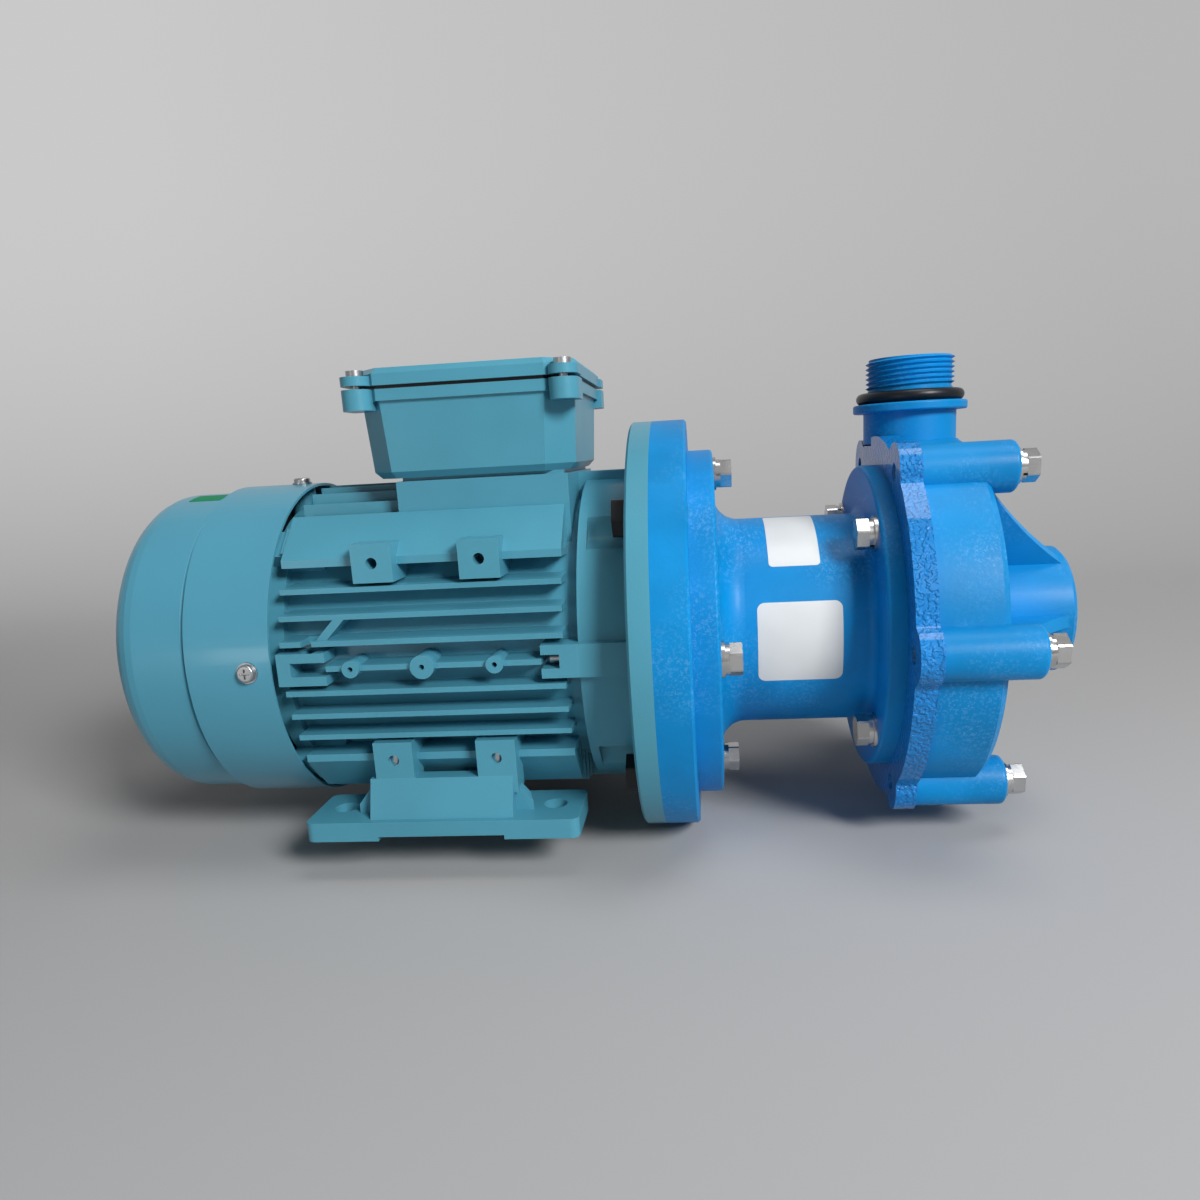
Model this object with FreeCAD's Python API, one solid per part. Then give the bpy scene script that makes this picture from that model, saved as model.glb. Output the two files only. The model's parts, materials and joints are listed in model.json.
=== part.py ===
import FreeCAD, Part
import math
import os

# Magnetic drive pump on a flange and foot mounted motor, in millimetres.
# The origin is the centre of the foot bolt pattern on the base plane.
# +X runs along the shaft to the suction port, and +Z is up.

Vec = FreeCAD.Vector
ALONG_X = Vec(1, 0, 0)
ALONG_Y = Vec(0, 1, 0)
ALONG_Z = Vec(0, 0, 1)

# Clearances
FIT = 0.03                # radial play of a seated or running fit
GAP = 0.3                 # play between a moving piece and its neighbour
SCREW_PLAY = 0.4          # radial play of a screw in its clearance hole

# Motor frame, standard size 80
SHAFT_HEIGHT = 80.0
FOOT_HOLES_ALONG = 100.0
FOOT_HOLES_ACROSS = 125.0
FOOT_HOLES_TO_FLANGE = 50.0
FOOT_HOLE_R = 5.5
FRAME_HALF = 67.0         # the frame reaches this far to both sides of the origin
FRAME_BORE_R = 60.0
FRAME_WALL = 5.0
FIN_TIP_R = 77.5
FIN_THICK = 2.4           # at the tip; the fins widen towards the shaft
FIN_DRAFT = 0.05
FIN_PITCH = 11.2
FIN_SET_BACK_REAR = 2.0
FIN_SET_BACK_FRONT = 6.0
SIDE_FINS = 3             # fins above and below the middle fin of one side
CORNER_LIP = 3.4
CORNER_REACH = 1.8         # the corner slabs stand this far past the fins beside them
PAD_WIDE = 18.0
PAD_TALL = 17.0
PAD_FACE_Y = 72.0
PAD_PITCH = 47.4
PAD_MIDDLE_X = 2.5
PAD_UP = 45.0             # height of the pad holes above and below the shaft
PAD_THREAD_R = 2.5
PAD_THREAD_DEEP = 12.0
PIP_REACH_Y = 80.0
PIP_X = (-33.0, -1.0, 31.0)
PIP_R = (3.8, 5.25, 3.8)
PIP_DRILL_R = 1.2
LUG_HALF_TALL = 7.3
LUG_LONG = 16.0
LUG_WALL = 6.0            # solid part of a forked lug
REAR_FORK_LONG = 16.0
FORK_HALF_TALL = 3.1
STRUT_FOOT_X = -50.5      # leaning strut that joins two fins, at its lower end
STRUT_LEAN = 11.0
STRUT_WIDE = 5.0
LUG_REACH_R = 78.0
TIE_R = 70.5              # radius of the screws that hold the end shields
TIE_SCREW_R = 2.5

# Stator and rotor
CORE_LONG = 80.0
AIR_GAP = 0.4
ROTOR_R = 34.6
SLOTS = 24
SLOT_WIDE = 4.6
SLOT_DEEP = 13.0
SLOT_LIP = 1.2
WIRE_PLAY = 0.2
END_TURN_LONG = 20.0
CAGE_BARS = 18
CAGE_BAR_R = 2.4
CAGE_RING_LONG = 9.0
CAGE_RING_DEEP = 9.0
CAGE_BLADES = 9
CAGE_BLADE_LONG = 8.0

# Shaft
SHAFT_END_R = 9.5
SHAFT_END_LONG = 40.0
SHAFT_BODY_R = 13.0
SHAFT_FAN_R = 7.5
KEY_WIDE = 6.0
KEY_TALL = 6.0
KEY_LONG = 32.0
KEY_SEAT = 3.5
KEY_TO_END = 3.0

# Ball bearings, bore 20, outer diameter 47, width 14
BEARING_BORE_R = 10.0
BEARING_OUTER_R = 23.5
BEARING_WIDE = 14.0
BALL_R = 3.969
BALL_PITCH_R = 16.75
BALLS = 8
BALL_PLAY = 0.02
GROOVE_R = 4.1
RING_STEP = 2.7           # radial distance from the ball centres to the rings' lands
CAGE_HALF_THICK = 0.9
FRONT_BEARING_X = 72.0    # rear face of the front bearing
WAVE_WASHER = 1.0         # room of the spring washer behind the rear bearing

# End shields
FLANGE_R = 100.0
FLANGE_THICK = 10.0
FLANGE_PCD_R = 82.5
FLANGE_HOLE_R = 6.0
SPIGOT_R = 65.0
SPIGOT_HIGH = 3.5
NECK_R = 74.0
NECK_WALL = 4.5
POCKET_R = 13.0
SHIELD_WEB = 6.0
BEARING_HOUSE_WALL = 5.5
SEAL_R = 16.0
SEAL_WIDE = 7.0
REAR_SHIELD_LONG = 20.0
REAR_SHIELD_R = 69.0
REAR_LUG_LONG = 8.0        # the screw lugs and the straight rim of the rear shield

# Fan and its cover
COVER_R = 79.2
COVER_REAR_R = 76.4
COVER_OPEN_X = -69.4
COVER_STEP_X = -108.5
COVER_END_X = -148.0
COVER_CORNER_R = 13.0
COVER_SHEET = 1.2
COVER_SCREW_X = -80.0
COVER_SCREW_R = 2.5
COVER_SCREWS = 4
COVER_BOSS_R = 6.0
GRILLE_RINGS = 5
GRILLE_SLOT_WIDE = 5.0
GRILLE_PITCH = 10.0
GRILLE_FIRST_R = 17.0
GRILLE_BRIDGES = 6
GRILLE_BRIDGE_WIDE = 5.0
FAN_R = 66.0
FAN_BACK_X = -92.0
FAN_LONG = 32.0
FAN_DISC = 2.6
FAN_HUB_R = 13.0
FAN_BLADES = 8
FAN_BLADE_THICK = 2.2

# Feet
FOOT_HALF_LONG = 63.0
FOOT_OUTER_Y = 81.0
FOOT_INNER_Y = 46.0
FOOT_THICK = 9.0
FOOT_WEB_HALF = 33.0
FOOT_WEB_THICK = 8.0
FOOT_SEAT_DEEP = 5.0      # the seats under the pads reach this far behind the web
FOOT_SEAT_TALL = 8.0
FOOT_RELIEF = 2.0
FOOT_RELIEF_HALF = 29.0
FOOT_SCREW_R = 3.0
FOOT_SCREW_LONG = 22.0

# Terminal box
BOX_REAR_X = -30.0
BOX_FRONT_X = 68.0
BOX_HALF_Y = 50.0
BOX_BASE_Z = 160.0
BOX_TOP_Z = 199.0
BOX_WALL = 3.5
BOX_FLOOR = 4.0
BOX_CHAMFER = 12.0
BOX_TAPER = 2.0
BOX_BEVEL = 3.0
PEDESTAL_REAR_X = -16.0
PEDESTAL_FRONT_X = 63.0
PEDESTAL_HALF_Y = 44.0
PEDESTAL_WALL = 5.0
GASKET_THICK = 1.5
LID_THICK = 7.5
LID_BEVEL = 2.5
LID_OVERHANG = 2.5
LID_LUG_R = 6.5
LID_LUG_IN = 3.0          # lug centre from the end of the box
LID_LUG_OUT = 1.0         # lug centre past the side of the box
LID_LUG_RUN = 12.0
LID_SCREW_R = 2.0
ENTRY_R = 9.25
ENTRY_X = 29.0
ENTRY_UP = 17.0
BLOCK_LONG = 52.0
BLOCK_WIDE = 34.0
BLOCK_TALL = 12.0
BLOCK_STUD_R = 2.0
BLOCK_STUD_PITCH = 16.0

# Adapter plate and lantern
ADAPTER_THICK = 16.0
ADAPTER_BORE_R = 46.0
LANTERN_FLANGE_R = 85.0
LANTERN_FLANGE_THICK = 12.0
LANTERN_SPIGOT_HIGH = 3.0
LANTERN_SPIGOT_WALL = 7.0
LANTERN_TUBE_R = 50.7
LANTERN_BORE_R = 44.0
LANTERN_TUBE_LONG = 70.0
LANTERN_FILLET = 12.0
LANTERN_DISC_R = 73.5
LANTERN_DISC_THICK = 8.0
LANTERN_DISC_FILLET = 4.0
LANTERN_BOLT_PCD_R = 73.5
LANTERN_BOLT_TURN = 2.0
RING_BOLT_PCD_R = 63.7
M10_R = 5.0
M10_FLATS = 16.0
M10_HEAD = 6.4
M8_R = 4.0
M8_FLATS = 13.0
M8_HEAD = 5.3
FLAT_WASHER = 1.6
SPRING_WASHER = 2.1
M8_WASHER_R = 8.0
M8_SPRING_R = 6.8
PLATE_GRIP = 14.0         # length of a lantern bolt in the adapter plate
RING_GRIP = 7.5           # length of a lantern bolt in the clamp ring

# Clamp ring and casing
RING_THICK = 9.5
RING_R = 87.0
RING_BORE_R = 40.0
CASING_BOLTS = 6
CASING_BOLT_R = 83.0      # radius of the bolt circle
CASING_BOLT_TURN = 1.0
LOBE_R = 12.8
LOBE_ROUND = 3.0
CASING_R = 84.0
CASING_BOSS_R = 11.3
CASING_BOSS_END = 41.0    # bolt bosses reach this far from the casing's rear face
CASING_WALL_END = 29.5    # depth of the round wall
CASING_FRONT_RISE = 6.0   # the front wall swells this far towards the port
CASING_EDGE_R = 3.0
SHELL_SEAT_R = 76.0
SHELL_FLANGE = 6.0
VOLUTE_START_R = 58.0
VOLUTE_END_R = 69.0
VOLUTE_DEEP = 18.0
O_RING_R = 1.5
CASING_O_RING_PITCH_R = 73.0
CASING_RIBS = 4           # on the upper bosses, from +Y round to -Y
RIB_THICK = 6.0
RIB_SAG = 1.5
RIB_START_X = 249.0       # where the crest leaves the boss
RIB_END_BACK = 2.0        # and how far behind the port face it ends
PORT_R = 30.5
PORT_END = 76.5           # suction port face from the casing's rear face
PORT_THREAD_R = 22.42
PORT_THREAD_DEEP = 24.0
PORT_FILLET = 5.0
THROAT_R = 20.0
SPIDER_ARMS = 3
SPIDER_ARM_THICK = 4.0
SPIDER_ARM_LONG = 14.0

# Discharge neck
NECK_UP_X = 11.0          # axis of the neck from the casing's rear face
NECK_UP_Y = 20.0
NECK_UP_R = 22.0
PLATFORM_Z = 164.0
PLATFORM_STEP = 1.0       # the platform stands out this far round the neck
NECK_SHELF = 0.8          # the neck's foot reaches this far under the platform
COLLAR_R = 27.0
COLLAR_Z = 178.0
COLLAR_THICK = 4.2
SPIGOT_TOP_Z = 203.5
THREAD_ROOT_R = 19.476
DISCHARGE_BORE_R = 14.0
DISCHARGE_O_RING_R = 2.8
O_RING_SET_IN = 1.5       # the discharge O-ring lies this far inside the collar's rim

# Magnetic drive
HUB_BOSS_R = 16.0
HUB_REAR = 8.0            # hub starts this far past the motor flange face
HUB_WEB = 7.0
HUB_PAST_SHAFT = 2.0
CUP_R = 39.0
CUP_BORE_R = 34.0
MAGNETS = 8
MAGNET_LONG = 34.0
MAGNET_THICK = 5.0
MAGNET_ARC = 36.0
CUP_LIP = 2.0
CAN_WALL = 2.5
CAN_R = 27.5
CAN_END_GAP = 4.5
CAN_END_WALL = 3.0
CAN_BOSS_LONG = 10.0
CARRIER_GAP = 1.2
INNER_MAGNET_THICK = 5.0
CARRIER_SKIN = 1.8
SPINDLE_R = 6.0
SPINDLE_SEAT = 9.0
BUSH_R = 10.0
THRUST_LONG = 3.0
THRUST_R = 10.0
IMPELLER_R = 55.0
IMPELLER_BACK_SHROUD = 4.0
IMPELLER_FRONT_SHROUD = 3.0
IMPELLER_VANE_WIDE = 8.0
IMPELLER_VANES = 6
IMPELLER_VANE_THICK = 3.2
IMPELLER_HUB_R = 14.0
IMPELLER_EYE_R = 20.0
IMPELLER_NECK_WALL = 3.5
IMPELLER_NECK_LONG = 6.0
IMPELLER_BACK_GAP = 1.5
IMPELLER_BOSS_LONG = 8.0
HUB_SCREW_R = 3.0
HUB_SCREW_IN = 8.0

# Places worked out from the sizes above
FLANGE_FACE_X = FOOT_HOLES_ALONG / 2 + FOOT_HOLES_TO_FLANGE
FRAME_OUTER_R = FRAME_BORE_R + FRAME_WALL
SHAFT_TIP_X = FLANGE_FACE_X + SHAFT_END_LONG
ADAPTER_FACE_X = FLANGE_FACE_X + ADAPTER_THICK
LANTERN_FACE_X = ADAPTER_FACE_X + LANTERN_FLANGE_THICK
DISC_REAR_X = LANTERN_FACE_X + LANTERN_TUBE_LONG
RING_REAR_X = DISC_REAR_X + LANTERN_DISC_THICK
CASING_REAR_X = RING_REAR_X + RING_THICK
SEAT_X = CASING_REAR_X + SHELL_FLANGE
VOLUTE_END_X = SEAT_X + VOLUTE_DEEP
PORT_FACE_X = CASING_REAR_X + PORT_END
NECK_UP_AXIS_X = CASING_REAR_X + NECK_UP_X
HUB_WEB_X = SHAFT_TIP_X + HUB_PAST_SHAFT - HUB_WEB
CAN_END_X = HUB_WEB_X + HUB_WEB + CAN_END_GAP
CARRIER_REAR_X = CAN_END_X + CAN_END_WALL + CAN_BOSS_LONG + THRUST_LONG + GAP
MAGNET_REAR_X = CARRIER_REAR_X + 2.0
MAGNET_FRONT_X = MAGNET_REAR_X + MAGNET_LONG
IMPELLER_REAR_X = SEAT_X - IMPELLER_BOSS_LONG
SPINDLE_FRONT_X = SEAT_X + IMPELLER_BACK_GAP + IMPELLER_BACK_SHROUD + THRUST_LONG + 3.0
FRONT_BEARING_END_X = FRONT_BEARING_X + BEARING_WIDE
REAR_SHIELD_END_X = -FRAME_HALF - REAR_SHIELD_LONG
REAR_BEARING_X = REAR_SHIELD_END_X + SHIELD_WEB * 0.5 + WAVE_WASHER
REAR_BEARING_END_X = REAR_BEARING_X + BEARING_WIDE


# Simple solids, placed by their ends
def along_x(radius, x0, x1, y=0.0, z=SHAFT_HEIGHT):
    return Part.makeCylinder(radius, x1 - x0, Vec(x0, y, z), ALONG_X)


def along_y(radius, x, z, y0, y1):
    return Part.makeCylinder(radius, y1 - y0, Vec(x, y0, z), ALONG_Y)


def along_z(radius, x, y, z0, z1):
    return Part.makeCylinder(radius, z1 - z0, Vec(x, y, z0), ALONG_Z)


def tube_x(outer, inner, x0, x1, y=0.0, z=SHAFT_HEIGHT):
    return along_x(outer, x0, x1, y, z).cut(along_x(inner, x0, x1, y, z))


def block(x0, x1, y0, y1, z0, z1):
    return Part.makeBox(x1 - x0, y1 - y0, z1 - z0, Vec(x0, y0, z0))


def prism_x(points, x0, x1):
    """Extrude a closed outline of (y, z) points along X."""
    outline = [Vec(x0, y, z) for y, z in points]
    face = Part.Face(Part.makePolygon(outline + outline[:1]))
    return face.extrude(Vec(x1 - x0, 0, 0))


def prism_y(points, y0, y1):
    """Extrude a closed outline of (x, z) points along Y."""
    outline = [Vec(x, y0, z) for x, z in points]
    face = Part.Face(Part.makePolygon(outline + outline[:1]))
    return face.extrude(Vec(0, y1 - y0, 0))


def prism_z(points, z0, z1):
    """Extrude a closed outline of (x, y) points along Z."""
    outline = [Vec(x, y, z0) for x, y in points]
    face = Part.Face(Part.makePolygon(outline + outline[:1]))
    return face.extrude(Vec(0, 0, z1 - z0))


def lathe(profile):
    """Turn a closed outline of (x, radius) points about the shaft axis."""
    outline = [Vec(x, 0, SHAFT_HEIGHT + r) for x, r in profile]
    face = Part.Face(Part.makePolygon(outline + outline[:1]))
    return face.revolve(Vec(0, 0, SHAFT_HEIGHT), ALONG_X, 360)


def cone_x(r0, r1, x0, x1):
    return Part.makeCone(r0, r1, x1 - x0, Vec(x0, 0, SHAFT_HEIGHT), ALONG_X)


def hexagon_x(flats, x0, x1, y, z):
    corner = flats / math.sqrt(3)
    turns = [math.radians(60 * i + 30) for i in range(6)]
    return prism_x([(y + corner * math.cos(t), z + corner * math.sin(t)) for t in turns], x0, x1)


def hexagon_z(flats, x, y, z0, z1):
    corner = flats / math.sqrt(3)
    turns = [math.radians(60 * i) for i in range(6)]
    return prism_z([(x + corner * math.cos(t), y + corner * math.sin(t)) for t in turns], z0, z1)


# Placing copies
def turned(shape, degrees):
    """A copy turned about the shaft axis, from +Y towards +Z."""
    copy = shape.copy()
    copy.rotate(Vec(0, 0, SHAFT_HEIGHT), ALONG_X, degrees)
    return copy


def ring_of(shape, count, start=0.0):
    return [turned(shape, start + 360.0 * i / count) for i in range(count)]


def mirrored_y(shape):
    return shape.mirror(Vec(0, 0, 0), ALONG_Y)


def joined(shapes):
    return shapes[0].multiFuse(shapes[1:]).removeSplitter()


def less(shape, cutters):
    return shape.cut(Part.makeCompound(cutters))


def on_circle(radius, degrees):
    """The (y, z) place at an angle about the shaft axis, from +Y towards +Z."""
    turn = math.radians(degrees)
    return radius * math.cos(turn), SHAFT_HEIGHT + radius * math.sin(turn)


def rounded(shape, radius, chosen):
    """Fillet the edges that the test picks."""
    edges = [edge for edge in shape.Edges if chosen(edge)]
    return shape.makeFillet(radius, edges)


def is_circle(edge, x, radius):
    """True for a round edge about the shaft axis at this place and radius."""
    curve = edge.Curve
    if not isinstance(curve, Part.Circle):
        return False
    middle = curve.Center
    off_axis = math.hypot(middle.y, middle.z - SHAFT_HEIGHT)
    return abs(curve.Radius - radius) < 1e-4 and abs(middle.x - x) < 1e-4 and off_axis < 1e-4


# Fasteners
def hex_bolt_x(radius, flats, head, seat_x, tip_x, y, z):
    """A hexagon head bolt whose head stands on seat_x, away from tip_x."""
    outward = 1.0 if seat_x > tip_x else -1.0
    top = seat_x + outward * head
    low, high = min(seat_x, top), max(seat_x, top)
    body = hexagon_x(flats, low, high, y, z)
    bevel = along_x(flats * 0.56, low, high, y, z)
    body = body.common(bevel)
    shank = along_x(radius, min(seat_x, tip_x), max(seat_x, tip_x), y, z)
    return joined([body, shank])


def washer_x(outer, radius, x, thick, y, z):
    return tube_x(outer, radius + FIT * 2, x, x + thick, y, z)


def washer_pair_x(outer, spring_outer, radius, seat_x, outward, y, z):
    """A flat washer on the seat with a spring washer on top of it."""
    flat_x = min(seat_x, seat_x + outward * FLAT_WASHER)
    spring_low = seat_x + outward * FLAT_WASHER
    spring_x = min(spring_low, spring_low + outward * SPRING_WASHER)
    flat = washer_x(outer, radius, flat_x, FLAT_WASHER, y, z)
    spring = washer_x(spring_outer, radius, spring_x, SPRING_WASHER, y, z)
    slit = block(spring_x, spring_x + SPRING_WASHER, y - 0.6, y + 0.6, z, z + spring_outer)
    return [flat, spring.cut(slit)]


def cap_screw_x(radius, seat_x, tip_x, y, z):
    """A socket head cap screw whose head stands on seat_x, away from tip_x."""
    outward = 1.0 if seat_x > tip_x else -1.0
    top = seat_x + outward * 2 * radius
    head = along_x(1.7 * radius, min(seat_x, top), max(seat_x, top), y, z)
    deep = top - outward * 1.1 * radius
    socket = hexagon_x(1.6 * radius, min(top, deep), max(top, deep), y, z)
    shank = along_x(radius, min(seat_x, tip_x), max(seat_x, tip_x), y, z)
    return joined([head.cut(socket), shank])


# Motor housing
def fin_reach(offset):
    """How far a flat fin at this offset from the shaft reaches sideways."""
    return math.sqrt(FIN_TIP_R ** 2 - offset ** 2)


def corner_slab(side, level):
    """Thick sloped slab between the outermost side fin and top fin."""
    fin = (SIDE_FINS + 1) * FIN_PITCH
    reach = fin_reach(fin) + CORNER_REACH
    foot = fin - FIN_THICK / 2
    crest = foot + CORNER_LIP
    outline = [(crest, reach), (reach, crest), (reach, foot), (reach - CORNER_LIP, foot)]
    outline += [(foot, reach - CORNER_LIP), (foot, reach)]
    return [(side * y, SHAFT_HEIGHT + level * z) for y, z in outline]


def fin_pair(offset, x0, x1):
    """One level fin through both sides and one upright fin, drafted towards their tips."""
    reach = fin_reach(offset)
    tip = FIN_THICK / 2
    root = tip + FIN_DRAFT * reach
    outline = [(reach, tip), (0, root), (-reach, tip), (-reach, -tip), (0, -root), (reach, -tip)]
    level = prism_x([(along, SHAFT_HEIGHT + offset + across) for along, across in outline], x0, x1)
    upright = prism_x([(offset + across, SHAFT_HEIGHT + along) for along, across in outline], x0, x1)
    return [level, upright]


def fin_strut():
    """Strut that leans from a shortened fin up to the next one, at +Y."""
    low, high = SHAFT_HEIGHT + FIN_PITCH, SHAFT_HEIGHT + 2 * FIN_PITCH
    reach = fin_reach(2 * FIN_PITCH)
    outline = [(STRUT_FOOT_X, low), (STRUT_FOOT_X + STRUT_WIDE, low),
               (STRUT_FOOT_X + STRUT_WIDE + STRUT_LEAN, high), (STRUT_FOOT_X + STRUT_LEAN, high)]
    return prism_y(outline, FRAME_BORE_R, reach)


def fin_gap():
    """Gap in the shortened fin, behind the strut's foot."""
    half = FIN_PITCH / 2
    z = SHAFT_HEIGHT + FIN_PITCH
    return block(STRUT_FOOT_X - STRUT_WIDE, STRUT_FOOT_X, FRAME_OUTER_R + 2, FIN_TIP_R, z - half, z + half)


def frame_fins():
    x0 = -FRAME_HALF + FIN_SET_BACK_REAR
    x1 = FRAME_HALF - FIN_SET_BACK_FRONT
    fins = [fin_strut(), mirrored_y(fin_strut())]
    for i in range(-SIDE_FINS - 1, SIDE_FINS + 2):
        fins += fin_pair(i * FIN_PITCH, x0, x1)
    for side in (-1, 1):
        for level in (-1, 1):
            fins.append(prism_x(corner_slab(side, level), x0, x1))
    return fins


def pad_places():
    return [PAD_MIDDLE_X + i * PAD_PITCH / 2 for i in (-1, 1)]


def frame_pads():
    """Tapped mounting pads at four corners and their holes."""
    pads, holes = [], []
    inner = FRAME_OUTER_R * 0.6
    for x in pad_places():
        for level in (-1, 1):
            z = SHAFT_HEIGHT + level * PAD_UP
            half = PAD_TALL / 2
            for side in (-1, 1):
                low, high = sorted((side * inner, side * PAD_FACE_Y))
                pads.append(block(x - PAD_WIDE / 2, x + PAD_WIDE / 2, low, high, z - half, z + half))
                low, high = sorted((side * (PAD_FACE_Y - PAD_THREAD_DEEP), side * PAD_FACE_Y))
                holes.append(along_y(PAD_THREAD_R, x, z, low, high))
    return pads, holes


def frame_pips():
    """Drilled round bosses at mid height on both sides."""
    pips, holes = [], []
    for x, radius in zip(PIP_X, PIP_R):
        for side in (-1, 1):
            low, high = sorted((side * FRAME_BORE_R, side * PIP_REACH_Y))
            pips.append(along_y(radius, x, SHAFT_HEIGHT, low, high))
            low, high = sorted((side * (PIP_REACH_Y - 2 * radius), side * PIP_REACH_Y))
            holes.append(along_y(PIP_DRILL_R, x, SHAFT_HEIGHT, low, high))
    return pips, holes


def tie_lug(x0, x1):
    """One lug at +Y that takes an end shield screw."""
    return block(x0, x1, FRAME_BORE_R, LUG_REACH_R, SHAFT_HEIGHT - LUG_HALF_TALL, SHAFT_HEIGHT + LUG_HALF_TALL)


def fork(x0, x1):
    """Slot that forks a lug at +Y."""
    return block(x0, x1, FRAME_OUTER_R, LUG_REACH_R, SHAFT_HEIGHT - FORK_HALF_TALL, SHAFT_HEIGHT + FORK_HALF_TALL)


def tie_bore(radius, x0, x1):
    return along_x(radius, x0, x1, TIE_R)


def pedestal(inset, low, high):
    """The stand of the terminal box, or a form inset from its sides."""
    x0, x1, half = PEDESTAL_REAR_X + inset, PEDESTAL_FRONT_X - inset, PEDESTAL_HALF_Y - inset
    return block(x0, x1, -half, half, low, high)


def foot_seats():
    """Places of the foot screws, under the lower pads."""
    y = PAD_FACE_Y - FOOT_WEB_THICK / 2 - 1.0
    return [(x, side * y) for x in pad_places() for side in (-1, 1)]


def motor_frame():
    pads, pad_holes = frame_pads()
    pips, pip_holes = frame_pips()
    rear, front = -FRAME_HALF, FRAME_HALF
    forked = tie_lug(rear, rear + LUG_WALL + REAR_FORK_LONG)
    lugs = ring_of(tie_lug(rear, rear + LUG_LONG), 4, 45) + ring_of(forked, 2) + ring_of(tie_lug(front - LUG_LONG, front), 4)
    stand = pedestal(0, SHAFT_HEIGHT + FRAME_BORE_R * 0.8, BOX_BASE_Z - GASKET_THICK)
    body = joined([along_x(FRAME_OUTER_R, -FRAME_HALF, FRAME_HALF)] + frame_fins() + pads + pips + lugs + [stand])
    bore = along_x(FRAME_BORE_R, -FRAME_HALF, FRAME_HALF)
    window = pedestal(PEDESTAL_WALL, SHAFT_HEIGHT, BOX_BASE_Z)
    ties = ring_of(tie_bore(TIE_SCREW_R, rear, rear + LUG_LONG), 4, 45)
    ties += ring_of(tie_bore(TIE_SCREW_R, front - LUG_LONG, front), 4)
    forks = ring_of(fork(rear + LUG_WALL, rear + LUG_WALL + REAR_FORK_LONG), 2)
    forks += ring_of(fork(front - LUG_LONG, front - LUG_LONG / 2), 2)
    seat_z = SHAFT_HEIGHT - PAD_UP - PAD_TALL / 2
    foot_holes = [along_z(FOOT_SCREW_R, x, y, seat_z, seat_z + FOOT_SCREW_LONG * 0.6) for x, y in foot_seats()]
    cutters = [bore, window, fin_gap(), mirrored_y(fin_gap())] + ties + forks
    return less(body, cutters + pad_holes + pip_holes + foot_holes)


def stator_core():
    half = CORE_LONG / 2
    inner = ROTOR_R + AIR_GAP
    core = tube_x(FRAME_BORE_R - FIT, inner, -half, half)
    slot_r = inner + SLOT_LIP
    slot = block(-half, half, slot_r, slot_r + SLOT_DEEP, SHAFT_HEIGHT - SLOT_WIDE / 2, SHAFT_HEIGHT + SLOT_WIDE / 2)
    mouth = block(-half, half, inner - 1, slot_r + 1, SHAFT_HEIGHT - 1, SHAFT_HEIGHT + 1)
    return less(core, ring_of(joined([slot, mouth]), SLOTS))


def stator_windings():
    """Slot bars joined by the two rounded end turns."""
    half = CORE_LONG / 2
    inner = ROTOR_R + AIR_GAP + SLOT_LIP + WIRE_PLAY
    outer = inner + SLOT_DEEP - 2 * WIRE_PLAY
    wide = SLOT_WIDE / 2 - WIRE_PLAY
    start = half + WIRE_PLAY
    end = start + END_TURN_LONG
    bar = block(-start - 1, start + 1, inner, outer, SHAFT_HEIGHT - wide, SHAFT_HEIGHT + wide)
    belly = 3.0
    crown = [(start, inner), (start, outer), (start + belly, outer + belly), (end - belly, outer + belly),
             (end, outer), (end, inner + belly), (end - belly, inner)]
    turns_front = lathe(crown)
    turns_rear = lathe([(-x, r) for x, r in crown])
    return joined([turns_front, turns_rear] + ring_of(bar, SLOTS))


def rotor_core():
    half = CORE_LONG / 2
    core = tube_x(ROTOR_R, SHAFT_BODY_R + FIT, -half, half)
    place = ROTOR_R - CAGE_BAR_R - 1.2
    hole = along_x(CAGE_BAR_R, -half, half, place)
    return less(core, ring_of(hole, CAGE_BARS))


def rotor_cage():
    """Cast bars through the core, end rings and their stirring blades."""
    half = CORE_LONG / 2
    place = ROTOR_R - CAGE_BAR_R - 1.2
    bar = along_x(CAGE_BAR_R - FIT, -half - 1, half + 1, place)
    outer = ROTOR_R - 0.4
    inner = outer - CAGE_RING_DEEP
    pieces = ring_of(bar, CAGE_BARS)
    for side in (-1, 1):
        low, high = sorted((side * half, side * (half + CAGE_RING_LONG)))
        pieces.append(tube_x(outer, inner, low, high))
        low, high = sorted((side * half, side * (half + CAGE_RING_LONG + CAGE_BLADE_LONG)))
        blade = block(low, high, inner + 2, outer - 0.8, SHAFT_HEIGHT - 0.9, SHAFT_HEIGHT + 0.9)
        pieces += ring_of(blade, CAGE_BLADES)
    return joined(pieces)


def key_ends():
    return SHAFT_TIP_X - KEY_TO_END - KEY_LONG, SHAFT_TIP_X - KEY_TO_END


def key_outline(x0, x1, wide, low, high):
    """A key or its seat on top of the shaft end, with round ends."""
    z0, z1 = SHAFT_HEIGHT + low, SHAFT_HEIGHT + high
    half = wide / 2
    middle = block(x0 + half, x1 - half, -half, half, z0, z1)
    return joined([middle, along_z(half, x0 + half, 0, z0, z1), along_z(half, x1 - half, 0, z0, z1)])


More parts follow.
